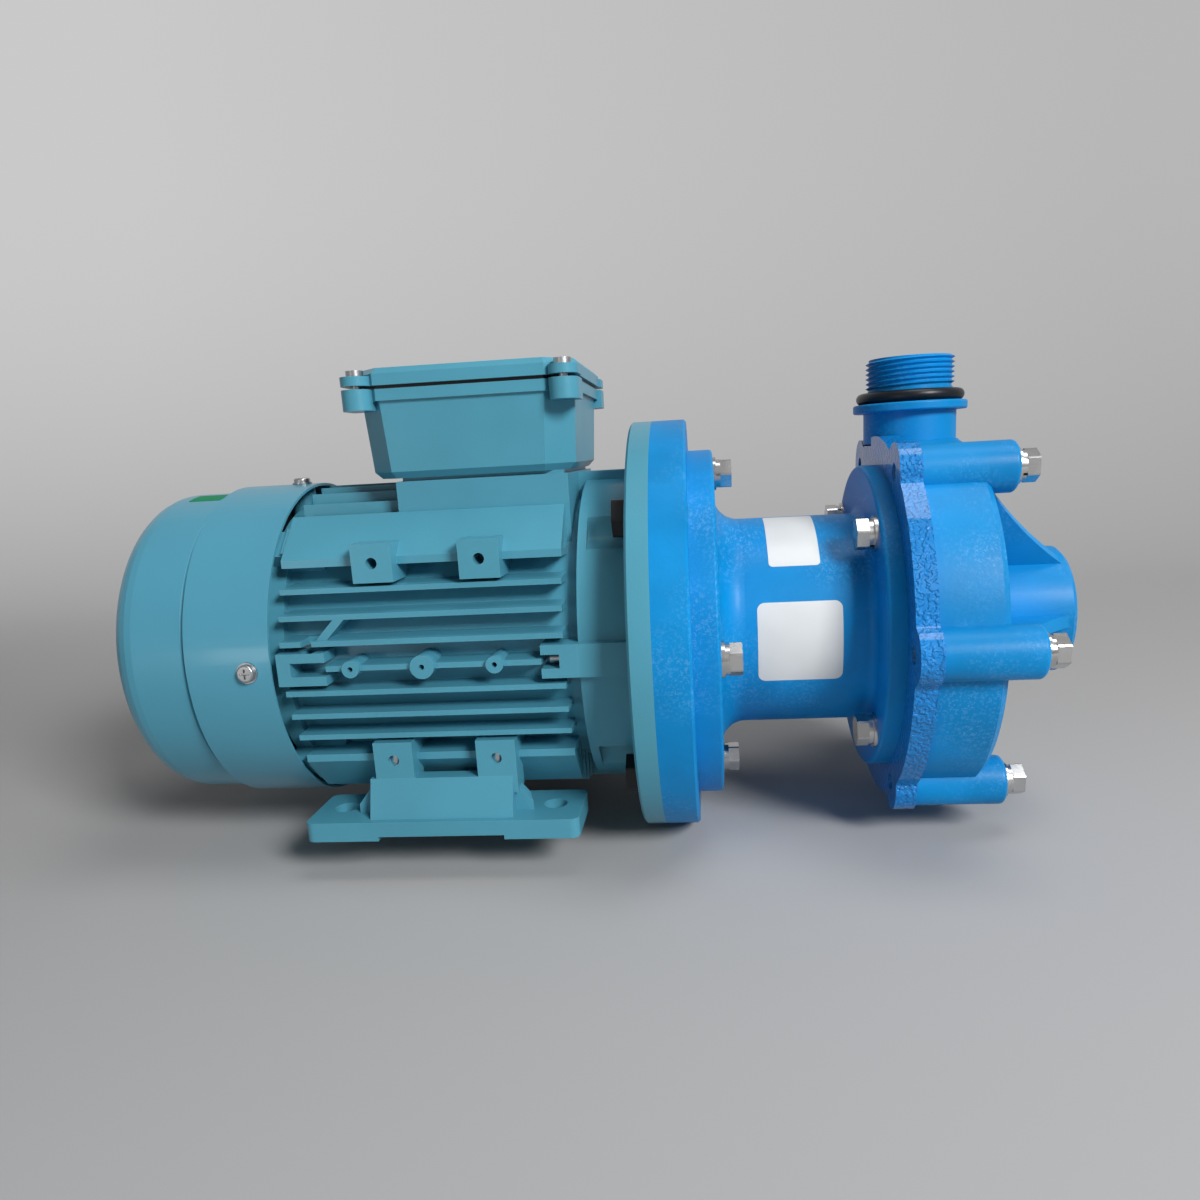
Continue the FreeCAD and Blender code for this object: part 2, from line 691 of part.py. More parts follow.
def motor_shaft():
    chamfer = 1.0
    rear = FAN_BACK_X - FAN_LONG * 0.62
    half = CORE_LONG / 2 + CAGE_RING_LONG
    steps = [(rear, SHAFT_FAN_R), (REAR_BEARING_X, BEARING_BORE_R), (REAR_BEARING_END_X, SHAFT_BODY_R),
             (FRONT_BEARING_X, BEARING_BORE_R), (FRONT_BEARING_END_X, SHAFT_END_R)]
    profile = [(rear, 0), (rear, SHAFT_FAN_R - chamfer), (rear + chamfer, SHAFT_FAN_R)]
    for (x0, r0), (x1, r1) in zip(steps, steps[1:]):
        profile += [(x1, r0), (x1, r1)]
    profile += [(SHAFT_TIP_X - chamfer, SHAFT_END_R), (SHAFT_TIP_X, SHAFT_END_R - chamfer), (SHAFT_TIP_X, 0)]
    x0, x1 = key_ends()
    seat = key_outline(x0, x1, KEY_WIDE, SHAFT_END_R - KEY_SEAT, SHAFT_END_R + 2)
    shoulder = tube_x(SHAFT_BODY_R + 2, SHAFT_BODY_R - 1, half + 6, half + 12)
    return joined([lathe(profile), shoulder]).cut(seat)


def shaft_key():
    x0, x1 = key_ends()
    low = SHAFT_END_R - KEY_SEAT
    return key_outline(x0 + FIT, x1 - FIT, KEY_WIDE - 2 * FIT, low, low + KEY_TALL)


# Ball bearings
def bearing_outer(x0):
    body = tube_x(BEARING_OUTER_R - FIT, BALL_PITCH_R + RING_STEP, x0, x0 + BEARING_WIDE)
    groove = Part.makeTorus(BALL_PITCH_R, GROOVE_R, Vec(x0 + BEARING_WIDE / 2, 0, SHAFT_HEIGHT), ALONG_X)
    return body.cut(groove)


def bearing_inner(x0):
    body = tube_x(BALL_PITCH_R - RING_STEP, BEARING_BORE_R + FIT, x0, x0 + BEARING_WIDE)
    groove = Part.makeTorus(BALL_PITCH_R, GROOVE_R, Vec(x0 + BEARING_WIDE / 2, 0, SHAFT_HEIGHT), ALONG_X)
    return body.cut(groove)


def bearing_cage(x0):
    """Balls in their cage, as separate solids."""
    middle = x0 + BEARING_WIDE / 2
    ball = Part.makeSphere(BALL_R, Vec(middle, BALL_PITCH_R, SHAFT_HEIGHT))
    pocket = Part.makeSphere(BALL_R + BALL_PLAY, Vec(middle, BALL_PITCH_R, SHAFT_HEIGHT))
    width = BALL_R * 0.75
    cage = tube_x(BALL_PITCH_R + CAGE_HALF_THICK, BALL_PITCH_R - CAGE_HALF_THICK, middle - width, middle + width)
    rim = tube_x(BALL_PITCH_R + CAGE_HALF_THICK, BALL_PITCH_R - CAGE_HALF_THICK, middle + width, middle + BALL_R + 0.8)
    cage = less(joined([cage, rim]), ring_of(pocket, BALLS))
    return Part.makeCompound(ring_of(ball, BALLS) + [cage])


# End shields
def front_end_shield():
    """Shield with the mounting flange, its neck and the bearing house."""
    back = FLANGE_FACE_X - FLANGE_THICK
    house_r = BEARING_OUTER_R + BEARING_HOUSE_WALL
    neck = [(FRAME_HALF, NECK_R - NECK_WALL), (FRAME_HALF, NECK_R), (back, NECK_R), (back, FLANGE_R - 1),
            (back + 1, FLANGE_R), (FLANGE_FACE_X, FLANGE_R), (FLANGE_FACE_X, SPIGOT_R),
            (FLANGE_FACE_X + SPIGOT_HIGH, SPIGOT_R), (FLANGE_FACE_X + SPIGOT_HIGH, SPIGOT_R - 6),
            (back + 2, SPIGOT_R - 6), (back, NECK_R - NECK_WALL)]
    web_x = FRONT_BEARING_END_X
    web = tube_x(NECK_R - NECK_WALL + 1, SEAL_R, web_x, web_x + SHIELD_WEB)
    house = tube_x(house_r, BEARING_OUTER_R, FRONT_BEARING_X, web_x + SHIELD_WEB)
    seal_house = tube_x(house_r, SEAL_R, web_x, web_x + SEAL_WIDE + 1)
    step = tube_x(FRAME_BORE_R - FIT, FRAME_BORE_R - 3, FRAME_HALF - 3, FRAME_HALF)
    shoulder = tube_x(NECK_R, FRAME_BORE_R - 3, FRAME_HALF, FRAME_HALF + 4)
    lug = tie_lug(FRAME_HALF, back)
    shield = joined([lathe(neck), web, house, seal_house, step, shoulder] + ring_of(lug, 4))
    y, z = on_circle(FLANGE_PCD_R, 45)
    pocket = along_x(POCKET_R, FRAME_HALF + 4, back, y, z)
    hole = along_x(FLANGE_HOLE_R, back, FLANGE_FACE_X, y, z)
    bore = along_x(SEAL_R, web_x, back + 2 * FLANGE_THICK)
    seat = along_x(BEARING_OUTER_R, FRONT_BEARING_X - 1, web_x)
    tie = tie_bore(TIE_SCREW_R + SCREW_PLAY, FRAME_HALF, back)
    head = tie_bore(TIE_SCREW_R * 1.7 + SCREW_PLAY, back - TIE_SCREW_R * 4, back + FLANGE_THICK)
    cutters = ring_of(pocket, 4) + ring_of(hole, 4) + ring_of(tie, 4) + ring_of(head, 4)
    return less(shield, cutters + [bore, seat])


def tie_screws(face_x, tip_x, start):
    return Part.makeCompound(ring_of(cap_screw_x(TIE_SCREW_R - FIT, face_x, tip_x, TIE_R, SHAFT_HEIGHT), 4, start))


def shaft_seal():
    x0 = FRONT_BEARING_END_X + 0.5
    profile = [(x0, SHAFT_END_R + 0.05), (x0, SEAL_R - FIT), (x0 + SEAL_WIDE, SEAL_R - FIT),
               (x0 + SEAL_WIDE, SHAFT_END_R + 4), (x0 + 2, SHAFT_END_R + 3), (x0 + 4, SHAFT_END_R + 0.05)]
    return lathe(profile)


def cover_ring(shape):
    return ring_of(shape, COVER_SCREWS)


def rear_end_shield():
    end = -FRAME_HALF - REAR_SHIELD_LONG
    house_r = BEARING_OUTER_R + BEARING_HOUSE_WALL
    lug_x = -FRAME_HALF - REAR_LUG_LONG
    dish = [(-FRAME_HALF, FRAME_BORE_R - 3), (-FRAME_HALF, REAR_SHIELD_R), (lug_x, REAR_SHIELD_R),
            (-FRAME_HALF - 14, FRAME_BORE_R - 6), (end, house_r), (end, SHAFT_BODY_R), (end + SHIELD_WEB * 0.5, SHAFT_BODY_R),
            (end + SHIELD_WEB * 0.5, house_r), (lug_x, FRAME_BORE_R - 8), (-FRAME_HALF - 5, FRAME_BORE_R - 3)]
    step = tube_x(FRAME_BORE_R - FIT, FRAME_BORE_R - 3, -FRAME_HALF - 2, -FRAME_HALF + 3)
    house = tube_x(house_r, BEARING_OUTER_R, end, REAR_BEARING_END_X)
    boss = along_y(COVER_BOSS_R, COVER_SCREW_X, SHAFT_HEIGHT, FRAME_BORE_R - 8, COVER_R - COVER_SHEET - FIT)
    lug = tie_lug(lug_x, -FRAME_HALF).common(along_x(COVER_R - 3, end, 0))
    boss = boss.common(along_x(COVER_R - COVER_SHEET - FIT, end, -FRAME_HALF))
    shield = joined([lathe(dish), step, house] + cover_ring(boss) + ring_of(lug, 4, 45))
    thread = along_y(COVER_SCREW_R, COVER_SCREW_X, SHAFT_HEIGHT, COVER_R - 14, COVER_R)
    tie = tie_bore(TIE_SCREW_R + SCREW_PLAY, lug_x, -FRAME_HALF)
    head = tie_bore(TIE_SCREW_R * 1.7 + SCREW_PLAY, end, lug_x)
    seat = along_x(BEARING_OUTER_R, end + SHIELD_WEB * 0.5, -FRAME_HALF)
    return less(shield, cover_ring(thread) + ring_of(tie, 4, 45) + ring_of(head, 4, 45) + [seat])


def wave_washer():
    x0 = REAR_BEARING_X - WAVE_WASHER
    return tube_x(BEARING_OUTER_R - 0.5, BEARING_OUTER_R - 4, x0 + 0.1, x0 + WAVE_WASHER - 0.1)


# Fan and cover
def cooling_fan():
    hub = along_x(FAN_HUB_R, FAN_BACK_X - FAN_LONG * 0.6, FAN_BACK_X)
    disc = lathe([(FAN_BACK_X, 0), (FAN_BACK_X, FAN_R * 0.5), (FAN_BACK_X + 5, FAN_R - 2), (FAN_BACK_X + 5, FAN_R),
                  (FAN_BACK_X + 5 - FAN_DISC, FAN_R), (FAN_BACK_X - FAN_DISC, FAN_R * 0.5), (FAN_BACK_X - FAN_DISC, 0)])
    half = FAN_BLADE_THICK / 2
    blade_outline = [(FAN_BACK_X - 1, FAN_HUB_R - 2), (FAN_BACK_X - 1, FAN_R * 0.5), (FAN_BACK_X + 4, FAN_R - 1),
                     (FAN_BACK_X - FAN_LONG + 8, FAN_R - 1), (FAN_BACK_X - FAN_LONG, FAN_R - 8),
                     (FAN_BACK_X - FAN_LONG, FAN_HUB_R + 16), (FAN_BACK_X - FAN_LONG * 0.5, FAN_HUB_R - 2)]
    blade = prism_y([(x, SHAFT_HEIGHT + r) for x, r in blade_outline], -half, half)
    bore = along_x(SHAFT_FAN_R + FIT, FAN_BACK_X - FAN_LONG, FAN_BACK_X + 10)
    return joined([hub, disc] + ring_of(blade, FAN_BLADES)).cut(bore)


def fan_clip():
    """Spring ring that keeps the fan on the shaft."""
    x1 = FAN_BACK_X - FAN_LONG * 0.6 - FIT
    ring = tube_x(SHAFT_FAN_R + 2.5, SHAFT_FAN_R + FIT, x1 - 1.2, x1)
    gap = block(x1 - 1.2, x1, -2, 2, SHAFT_HEIGHT, SHAFT_HEIGHT + SHAFT_FAN_R + 3)
    return ring.cut(gap)


def cover_outer(inset):
    """The cover's outer form, or its inside when inset by the sheet."""
    groove = 0.8
    r0, r1 = COVER_R - inset, COVER_REAR_R - inset
    end = COVER_END_X + inset
    corner = COVER_CORNER_R - inset
    steps = 6
    arc = []
    for i in range(steps + 1):
        turn = math.radians(90.0 * i / steps)
        arc.append((end + corner - corner * math.sin(turn), r1 - corner + corner * math.cos(turn)))
    profile = [(COVER_OPEN_X, 0), (COVER_OPEN_X, r0), (COVER_STEP_X, r0), (COVER_STEP_X - groove, r1 - groove),
               (COVER_STEP_X - 3 * groove, r1 - groove), (COVER_STEP_X - 4 * groove, r1)]
    return lathe(profile + arc + [(end, 0)])


def grille_slot(radius):
    """One ring of openings, split by the radial bridges."""
    half = GRILLE_SLOT_WIDE / 2
    low, high = COVER_END_X - 1, COVER_END_X + COVER_SHEET + 1
    ring = tube_x(radius + half, radius - half, low, high)
    bridge = block(low, high, 0, radius + 2 * half, SHAFT_HEIGHT - GRILLE_BRIDGE_WIDE / 2, SHAFT_HEIGHT + GRILLE_BRIDGE_WIDE / 2)
    return less(ring, ring_of(bridge, GRILLE_BRIDGES))


def fan_cover():
    shell = cover_outer(0).cut(cover_outer(COVER_SHEET))
    slots = [grille_slot(GRILLE_FIRST_R + i * GRILLE_PITCH) for i in range(GRILLE_RINGS)]
    hole = along_y(COVER_SCREW_R + SCREW_PLAY, COVER_SCREW_X, SHAFT_HEIGHT, COVER_R - 4, COVER_R + 1)
    return less(shell, slots + cover_ring(hole))


def cover_screws():
    """Domed screws with a cross recess, pointing at the shaft."""
    top = COVER_R + 3.0
    washer = along_y(COVER_SCREW_R * 1.9, COVER_SCREW_X, SHAFT_HEIGHT, COVER_R, COVER_R + 0.8)
    head = along_y(COVER_SCREW_R * 1.6, COVER_SCREW_X, SHAFT_HEIGHT, COVER_R, top)
    head = head.makeFillet(1.0, [e for e in head.Edges if isinstance(e.Curve, Part.Circle) and e.Curve.Center.y > top - 0.1])
    shank = along_y(COVER_SCREW_R, COVER_SCREW_X, SHAFT_HEIGHT, COVER_R - 9, COVER_R)
    arm = COVER_SCREW_R * 0.9
    slot_x = block(COVER_SCREW_X - arm, COVER_SCREW_X + arm, top - 1.2, top, SHAFT_HEIGHT - 0.4, SHAFT_HEIGHT + 0.4)
    slot_z = block(COVER_SCREW_X - 0.4, COVER_SCREW_X + 0.4, top - 1.2, top, SHAFT_HEIGHT - arm, SHAFT_HEIGHT + arm)
    screw = less(joined([washer, head, shank]), [slot_x, slot_z])
    return Part.makeCompound(cover_ring(screw))


# Feet
def foot():
    """The foot at +Y; its twin is the mirror image."""
    top = SHAFT_HEIGHT - PAD_UP - PAD_TALL / 2
    plate = block(-FOOT_HALF_LONG, FOOT_HALF_LONG, FOOT_INNER_Y, FOOT_OUTER_Y, 0, FOOT_THICK)
    corners = [e for e in plate.Edges if abs(e.Vertexes[0].Z - e.Vertexes[1].Z) > 1]
    plate = plate.makeFillet(4.0, corners)
    rear = PAD_FACE_Y - FOOT_WEB_THICK
    web = [(rear, top), (PAD_FACE_Y, top), (FOOT_OUTER_Y - 3, FOOT_THICK - 1), (rear, FOOT_THICK - 1)]
    stand = prism_x(web, -FOOT_WEB_HALF, FOOT_WEB_HALF)
    seats = [block(x - PAD_WIDE / 2, x + PAD_WIDE / 2, rear - FOOT_SEAT_DEEP, PAD_FACE_Y, top - FOOT_SEAT_TALL, top) for x in pad_places()]
    ramp = [(FOOT_INNER_Y + 4, FOOT_THICK - 1), (rear - FOOT_SEAT_DEEP, top - FOOT_SEAT_TALL), (rear + 1, top - FOOT_SEAT_TALL), (rear + 1, FOOT_THICK - 1)]
    ribs = [prism_x(ramp, x - 3, x + 3) for x in pad_places()]
    side = [(FOOT_WEB_HALF - 2, FOOT_THICK - 1), (FOOT_WEB_HALF - 2, top - 1), (FOOT_WEB_HALF + 12, FOOT_THICK - 1)]
    gussets = []
    for flip in (-1, 1):
        gussets.append(prism_y([(flip * x, z) for x, z in side], rear, rear + FOOT_WEB_THICK * 0.6))
    body = joined([plate, stand] + seats + ribs + gussets)
    holes = []
    for end in (-1, 1):
        holes.append(along_z(FOOT_HOLE_R, end * FOOT_HOLES_ALONG / 2, FOOT_HOLES_ACROSS / 2, -1, FOOT_THICK + 1))
        holes.append(along_z(FOOT_HOLE_R * 2, end * FOOT_HOLES_ALONG / 2, FOOT_HOLES_ACROSS / 2, FOOT_THICK, top))
    relief = block(-FOOT_RELIEF_HALF, FOOT_RELIEF_HALF, FOOT_INNER_Y - 1, FOOT_OUTER_Y + 1, -1, FOOT_RELIEF)
    for x, y in foot_seats():
        holes.append(along_z(FOOT_SCREW_R + SCREW_PLAY, x, y, -1, top + 1))
        holes.append(along_z(FOOT_SCREW_R * 2, x, y, -1, top - FOOT_SEAT_TALL))
    return less(body, holes + [relief])


def foot_screws():
    """Screws from beneath that hold the feet to the lower pads."""
    top = SHAFT_HEIGHT - PAD_UP - PAD_TALL / 2
    screws = []
    for x, y in foot_seats():
        seat = top - FOOT_SEAT_TALL
        head = hexagon_z(FOOT_SCREW_R * 3.3, x, y, seat - 4, seat)
        shank = along_z(FOOT_SCREW_R - FIT, x, y, seat, seat - 1 + FOOT_SCREW_LONG * 0.9)
        screws.append(joined([head, shank]))
    return Part.makeCompound(screws)


# Terminal box
def box_outline(inset, taper):
    """Outline of the box in (x, y), with cut corners."""
    x0 = BOX_REAR_X + inset + taper
    x1 = BOX_FRONT_X - inset - taper
    half = BOX_HALF_Y - inset - taper
    cut = BOX_CHAMFER - inset * 0.6
    return [(x0 + cut, -half), (x1 - cut, -half), (x1, cut - half), (x1, half - cut),
            (x1 - cut, half), (x0 + cut, half), (x0, half - cut), (x0, cut - half)]


def polygon_at(points, z):
    outline = [Vec(x, y, z) for x, y in points]
    return Part.makePolygon(outline + outline[:1])


def tapered(inset, z0, z1):
    """Box form that widens upward by the casting's taper."""
    return Part.makeLoft([polygon_at(box_outline(inset, BOX_TAPER), z0), polygon_at(box_outline(inset, 0), z1)], True, True)


def lug_places():
    """Lid screws sit on lugs at the four cut corners."""
    x0, x1, side = BOX_REAR_X + LID_LUG_IN, BOX_FRONT_X - LID_LUG_IN, BOX_HALF_Y + LID_LUG_OUT
    return [(x0, -side), (x1, -side), (x1, side), (x0, side)]


def lid_lugs(z0, z1):
    """Round ended lugs that run in to the box wall."""
    lugs = []
    for x, y in lug_places():
        inner = math.copysign(abs(y) - LID_LUG_RUN, y)
        low, high = sorted((y, inner))
        lugs.append(along_z(LID_LUG_R, x, y, z0, z1))
        lugs.append(block(x - LID_LUG_R, x + LID_LUG_R, low, high, z0, z1))
    return lugs


def terminal_box():
    rim = prism_z(box_outline(-1.5, 0), BOX_TOP_Z - 5, BOX_TOP_Z)
    edge_z = BOX_BASE_Z + BOX_BEVEL
    bevel = Part.makeLoft([polygon_at(box_outline(BOX_BEVEL, BOX_TAPER), BOX_BASE_Z), polygon_at(box_outline(0, BOX_TAPER), edge_z)], True, True)
    body = joined([bevel, tapered(0, edge_z, BOX_TOP_Z), rim] + lid_lugs(BOX_TOP_Z - 9, BOX_TOP_Z))
    hollow = tapered(BOX_WALL, BOX_BASE_Z + BOX_FLOOR, BOX_TOP_Z + 1)
    inside = PEDESTAL_WALL * 2
    hatch = block(PEDESTAL_REAR_X + inside, PEDESTAL_FRONT_X - inside, -BLOCK_WIDE / 2 + 4, BLOCK_WIDE / 2 - 4,
                  BOX_BASE_Z - 1, BOX_BASE_Z + BOX_FLOOR + 1)
    entry = along_y(ENTRY_R, ENTRY_X, BOX_BASE_Z + ENTRY_UP, 0, BOX_HALF_Y + 10)
    rim_entry = along_y(ENTRY_R + 4, ENTRY_X, BOX_BASE_Z + ENTRY_UP, BOX_HALF_Y - BOX_WALL - 3, BOX_HALF_Y + 1)
    holes = [along_z(LID_SCREW_R, x, y, BOX_TOP_Z - 8, BOX_TOP_Z) for x, y in lug_places()]
    body = joined([body.cut(hollow), rim_entry])
    feet = [along_z(2.0, x, y, BOX_BASE_Z - 1, BOX_BASE_Z + BOX_FLOOR + 1) for x, y in block_screw_places()]
    return less(body, [hatch, entry] + holes + feet)


def block_screw_places():
    middle = (PEDESTAL_REAR_X + PEDESTAL_FRONT_X) / 2
    return [(middle + i * (BLOCK_LONG / 2 - 4), 0) for i in (-1, 1)]


def box_gasket():
    z0 = BOX_BASE_Z - GASKET_THICK
    return pedestal(PEDESTAL_WALL / 2, z0, BOX_BASE_Z).cut(pedestal(PEDESTAL_WALL, z0, BOX_BASE_Z))


def lid_gasket():
    outer = prism_z(box_outline(-0.5, 0), BOX_TOP_Z, BOX_TOP_Z + GASKET_THICK)
    return outer.cut(prism_z(box_outline(BOX_WALL, 0), BOX_TOP_Z, BOX_TOP_Z + GASKET_THICK))


def terminal_box_lid():
    z0 = BOX_TOP_Z + GASKET_THICK
    z1 = z0 + LID_THICK
    plate = Part.makeLoft([polygon_at(box_outline(-LID_OVERHANG, 0), z1 - LID_BEVEL),
                           polygon_at(box_outline(LID_BEVEL - LID_OVERHANG, 0), z1)], True, True)
    skirt = prism_z(box_outline(-LID_OVERHANG, 0), z0, z1 - LID_BEVEL)
    body = joined([skirt, plate] + lid_lugs(z0, z1 - LID_BEVEL - 1))
    hollow = prism_z(box_outline(BOX_WALL, 0), z0 - 1, z0 + LID_THICK - 3)
    holes = [along_z(LID_SCREW_R + SCREW_PLAY, x, y, z0 - 1, z1) for x, y in lug_places()]
    return less(body, [hollow] + holes)


def lid_screws():
    seat = BOX_TOP_Z + GASKET_THICK + LID_THICK - LID_BEVEL - 1
    screws = []
    for x, y in lug_places():
        head = along_z(LID_SCREW_R * 1.9, x, y, seat, seat + 2.6)
        recess = hexagon_z(LID_SCREW_R * 1.6, x, y, seat + 1.2, seat + 2.6)
        shank = along_z(LID_SCREW_R - FIT, x, y, seat - 11, seat)
        screws.append(joined([head.cut(recess), shank]))
    return Part.makeCompound(screws)


def terminal_block():
    """Moulded block with six studs and barriers between the poles."""
    middle = (PEDESTAL_REAR_X + PEDESTAL_FRONT_X) / 2
    z0 = BOX_BASE_Z + BOX_FLOOR
    base = block(middle - BLOCK_LONG / 2, middle + BLOCK_LONG / 2, -BLOCK_WIDE / 2, BLOCK_WIDE / 2, z0, z0 + BLOCK_TALL * 0.6)
    walls = []
    for i in (-1, 1):
        x = middle + i * BLOCK_STUD_PITCH / 2
        walls.append(block(x - 1, x + 1, -BLOCK_WIDE / 2, BLOCK_WIDE / 2, z0, z0 + BLOCK_TALL))
    holes = [along_z(BLOCK_STUD_R, x, y, z0 - 1, z0 + BLOCK_TALL) for x, y in stud_places()]
    holes += [along_z(2.0, x, y, z0 - 1, z0 + BLOCK_TALL) for x, y in block_screw_places()]
    return less(joined([base] + walls), holes)


def stud_places():
    middle = (PEDESTAL_REAR_X + PEDESTAL_FRONT_X) / 2
    return [(middle + i * BLOCK_STUD_PITCH, j * BLOCK_WIDE / 4) for i in (-1, 0, 1) for j in (-1, 1)]


def terminal_studs():
    z0 = BOX_BASE_Z + BOX_FLOOR
    seat = z0 + BLOCK_TALL * 0.6
    studs = []
    for x, y in stud_places():
        stem = along_z(BLOCK_STUD_R - FIT, x, y, z0 + 1, seat + 12)
        nut = hexagon_z(7.0, x, y, seat + 1, seat + 4)
        washer = along_z(4.0, x, y, seat, seat + 1)
        studs.append(joined([stem, nut, washer]))
    return Part.makeCompound(studs)


# Adapter plate and lantern
def adapter_plate():
    rear = FLANGE_FACE_X
    spigot = along_x(SPIGOT_R + FIT, rear, rear + SPIGOT_HIGH + 0.2)
    bore = along_x(ADAPTER_BORE_R, rear, ADAPTER_FACE_X)
    recess = along_x(LANTERN_BORE_R + LANTERN_SPIGOT_WALL + FIT, ADAPTER_FACE_X - LANTERN_SPIGOT_HIGH - 0.2, ADAPTER_FACE_X)
    y, z = on_circle(FLANGE_PCD_R, 45)
    motor_hole = along_x(M10_R, rear, ADAPTER_FACE_X, y, z)
    lantern_hole = along_x(M8_R, rear, ADAPTER_FACE_X, LANTERN_BOLT_PCD_R)
    plate = lathe([(rear, 0), (rear, FLANGE_R), (ADAPTER_FACE_X - 1, FLANGE_R), (ADAPTER_FACE_X, FLANGE_R - 1), (ADAPTER_FACE_X, 0)])
    return less(plate, [spigot, bore, recess] + ring_of(motor_hole, 4) + ring_of(lantern_hole, 4, LANTERN_BOLT_TURN))


def flange_bolts():
    """Bolts from the motor side into the adapter plate."""
    y, z = on_circle(FLANGE_PCD_R, 45)
    seat = FLANGE_FACE_X - FLANGE_THICK
    bolt = hex_bolt_x(M10_R - FIT, M10_FLATS, M10_HEAD, seat, ADAPTER_FACE_X - 2, y, z)
    return Part.makeCompound(ring_of(bolt, 4))


def lantern():
    """Flanged tube that carries the pump clear of the motor."""
    x0, x1 = ADAPTER_FACE_X, RING_REAR_X
    outer = [(x0 - LANTERN_SPIGOT_HIGH, LANTERN_BORE_R), (x0 - LANTERN_SPIGOT_HIGH, LANTERN_BORE_R + LANTERN_SPIGOT_WALL),
             (x0, LANTERN_BORE_R + LANTERN_SPIGOT_WALL), (x0, LANTERN_FLANGE_R), (LANTERN_FACE_X, LANTERN_FLANGE_R),
             (LANTERN_FACE_X, LANTERN_TUBE_R), (DISC_REAR_X, LANTERN_TUBE_R), (DISC_REAR_X, LANTERN_DISC_R),
             (x1, LANTERN_DISC_R), (x1, LANTERN_BORE_R)]
    body = lathe(outer)
    body = rounded(body, LANTERN_FILLET, lambda e: is_circle(e, LANTERN_FACE_X, LANTERN_TUBE_R))
    body = rounded(body, LANTERN_DISC_FILLET, lambda e: is_circle(e, DISC_REAR_X, LANTERN_TUBE_R))
    body = rounded(body, 1.5, lambda e: is_circle(e, LANTERN_FACE_X, LANTERN_FLANGE_R))
    body = rounded(body, 1.5, lambda e: is_circle(e, DISC_REAR_X, LANTERN_DISC_R))
    bolt_hole = along_x(M8_R + SCREW_PLAY, x0, LANTERN_FACE_X, LANTERN_BOLT_PCD_R)
    y, z = on_circle(RING_BOLT_PCD_R, 45)
    ring_hole = along_x(M8_R + SCREW_PLAY, DISC_REAR_X, x1, y, z)
    return less(body, ring_of(bolt_hole, 4, LANTERN_BOLT_TURN) + ring_of(ring_hole, 4))


def lantern_bolts():
    seat = LANTERN_FACE_X + FLAT_WASHER + SPRING_WASHER
    tip = LANTERN_FACE_X - LANTERN_FLANGE_THICK - PLATE_GRIP
    bolt = hex_bolt_x(M8_R - FIT, M8_FLATS, M8_HEAD, seat, tip, LANTERN_BOLT_PCD_R, SHAFT_HEIGHT)
    return Part.makeCompound(ring_of(bolt, 4, LANTERN_BOLT_TURN))


def lantern_washers():
    pair = washer_pair_x(M8_WASHER_R, M8_SPRING_R, M8_R, LANTERN_FACE_X, 1.0, LANTERN_BOLT_PCD_R, SHAFT_HEIGHT)
    return Part.makeCompound([copy for washer in pair for copy in ring_of(washer, 4, LANTERN_BOLT_TURN)])


def ring_bolts():
    seat = DISC_REAR_X - FLAT_WASHER - SPRING_WASHER
    bolt = hex_bolt_x(M8_R - FIT, M8_FLATS, M8_HEAD, seat, RING_REAR_X + RING_GRIP, RING_BOLT_PCD_R, SHAFT_HEIGHT)
    return Part.makeCompound(ring_of(bolt, 4, 45))


def ring_bolt_washers():
    pair = washer_pair_x(M8_WASHER_R, M8_SPRING_R, M8_R, DISC_REAR_X, -1.0, RING_BOLT_PCD_R, SHAFT_HEIGHT)
    return Part.makeCompound([copy for washer in pair for copy in ring_of(washer, 4, 45)])


# Clamp ring and casing
def casing_ring(shape):
    return ring_of(shape, CASING_BOLTS, CASING_BOLT_TURN)


def clamp_ring():
    """Lobed ring that presses the can's flange into the casing."""
    x0, x1 = RING_REAR_X, CASING_REAR_X
    disc = along_x(RING_R, x0, x1)
    lobe = along_x(LOBE_R, x0, x1, CASING_BOLT_R)
    body = joined([disc] + casing_ring(lobe))
    body = rounded(body, LOBE_ROUND, lambda e: abs(e.Length - (x1 - x0)) < 1e-3 and e.Curve.TypeId == "Part::GeomLine"
                   and math.hypot(e.Vertexes[0].Y, e.Vertexes[0].Z - SHAFT_HEIGHT) > CASING_R)
    bore = along_x(RING_BORE_R, x0, x1)
    casing_hole = along_x(M8_R, x0, x1, CASING_BOLT_R)
    y, z = on_circle(RING_BOLT_PCD_R, 45)
    lantern_hole = along_x(M8_R, x0, x0 + RING_GRIP + 0.5, y, z)
    neck = along_z(NECK_UP_R + 1, NECK_UP_AXIS_X, NECK_UP_Y, PLATFORM_Z - 2 * NECK_SHELF, PLATFORM_Z + RING_R)
    return less(body, [bore, neck] + casing_ring(casing_hole) + ring_of(lantern_hole, 4))


def spiral_wire(x):
    """Spiral outline of the volute, widening in the sense of rotation."""
    points = []
    steps = 24
    start = 75.0
    for i in range(steps + 1):
        share = i / steps
        radius = VOLUTE_START_R + (VOLUTE_END_R - VOLUTE_START_R) * share
        y, z = on_circle(radius, start + 340.0 * share)
        points.append(Vec(x, y, z))
    curve = Part.BSplineCurve()
    curve.interpolate(points)
    close = Part.LineSegment(points[-1], points[0])
    return Part.Wire([curve.toShape(), close.toShape()])


def volute():
    start = SEAT_X
    section = Part.Face(spiral_wire(start))
    return section.extrude(Vec(VOLUTE_END_X - start, 0, 0))


def ellipse_wire(x, y, z, half_x, half_y, tilt):
    """Closed ellipse about +Z, tipped about X by the tilt."""
    wire = Part.Wire([Part.Ellipse(Vec(0, 0, 0), max(half_x, half_y) + 1e-4, min(half_x, half_y)).toShape()])
    if half_y > half_x:
        wire.rotate(Vec(0, 0, 0), ALONG_Z, 90)
    wire.rotate(Vec(0, 0, 0), ALONG_X, tilt)
    wire.translate(Vec(x, y, z))
    return wire


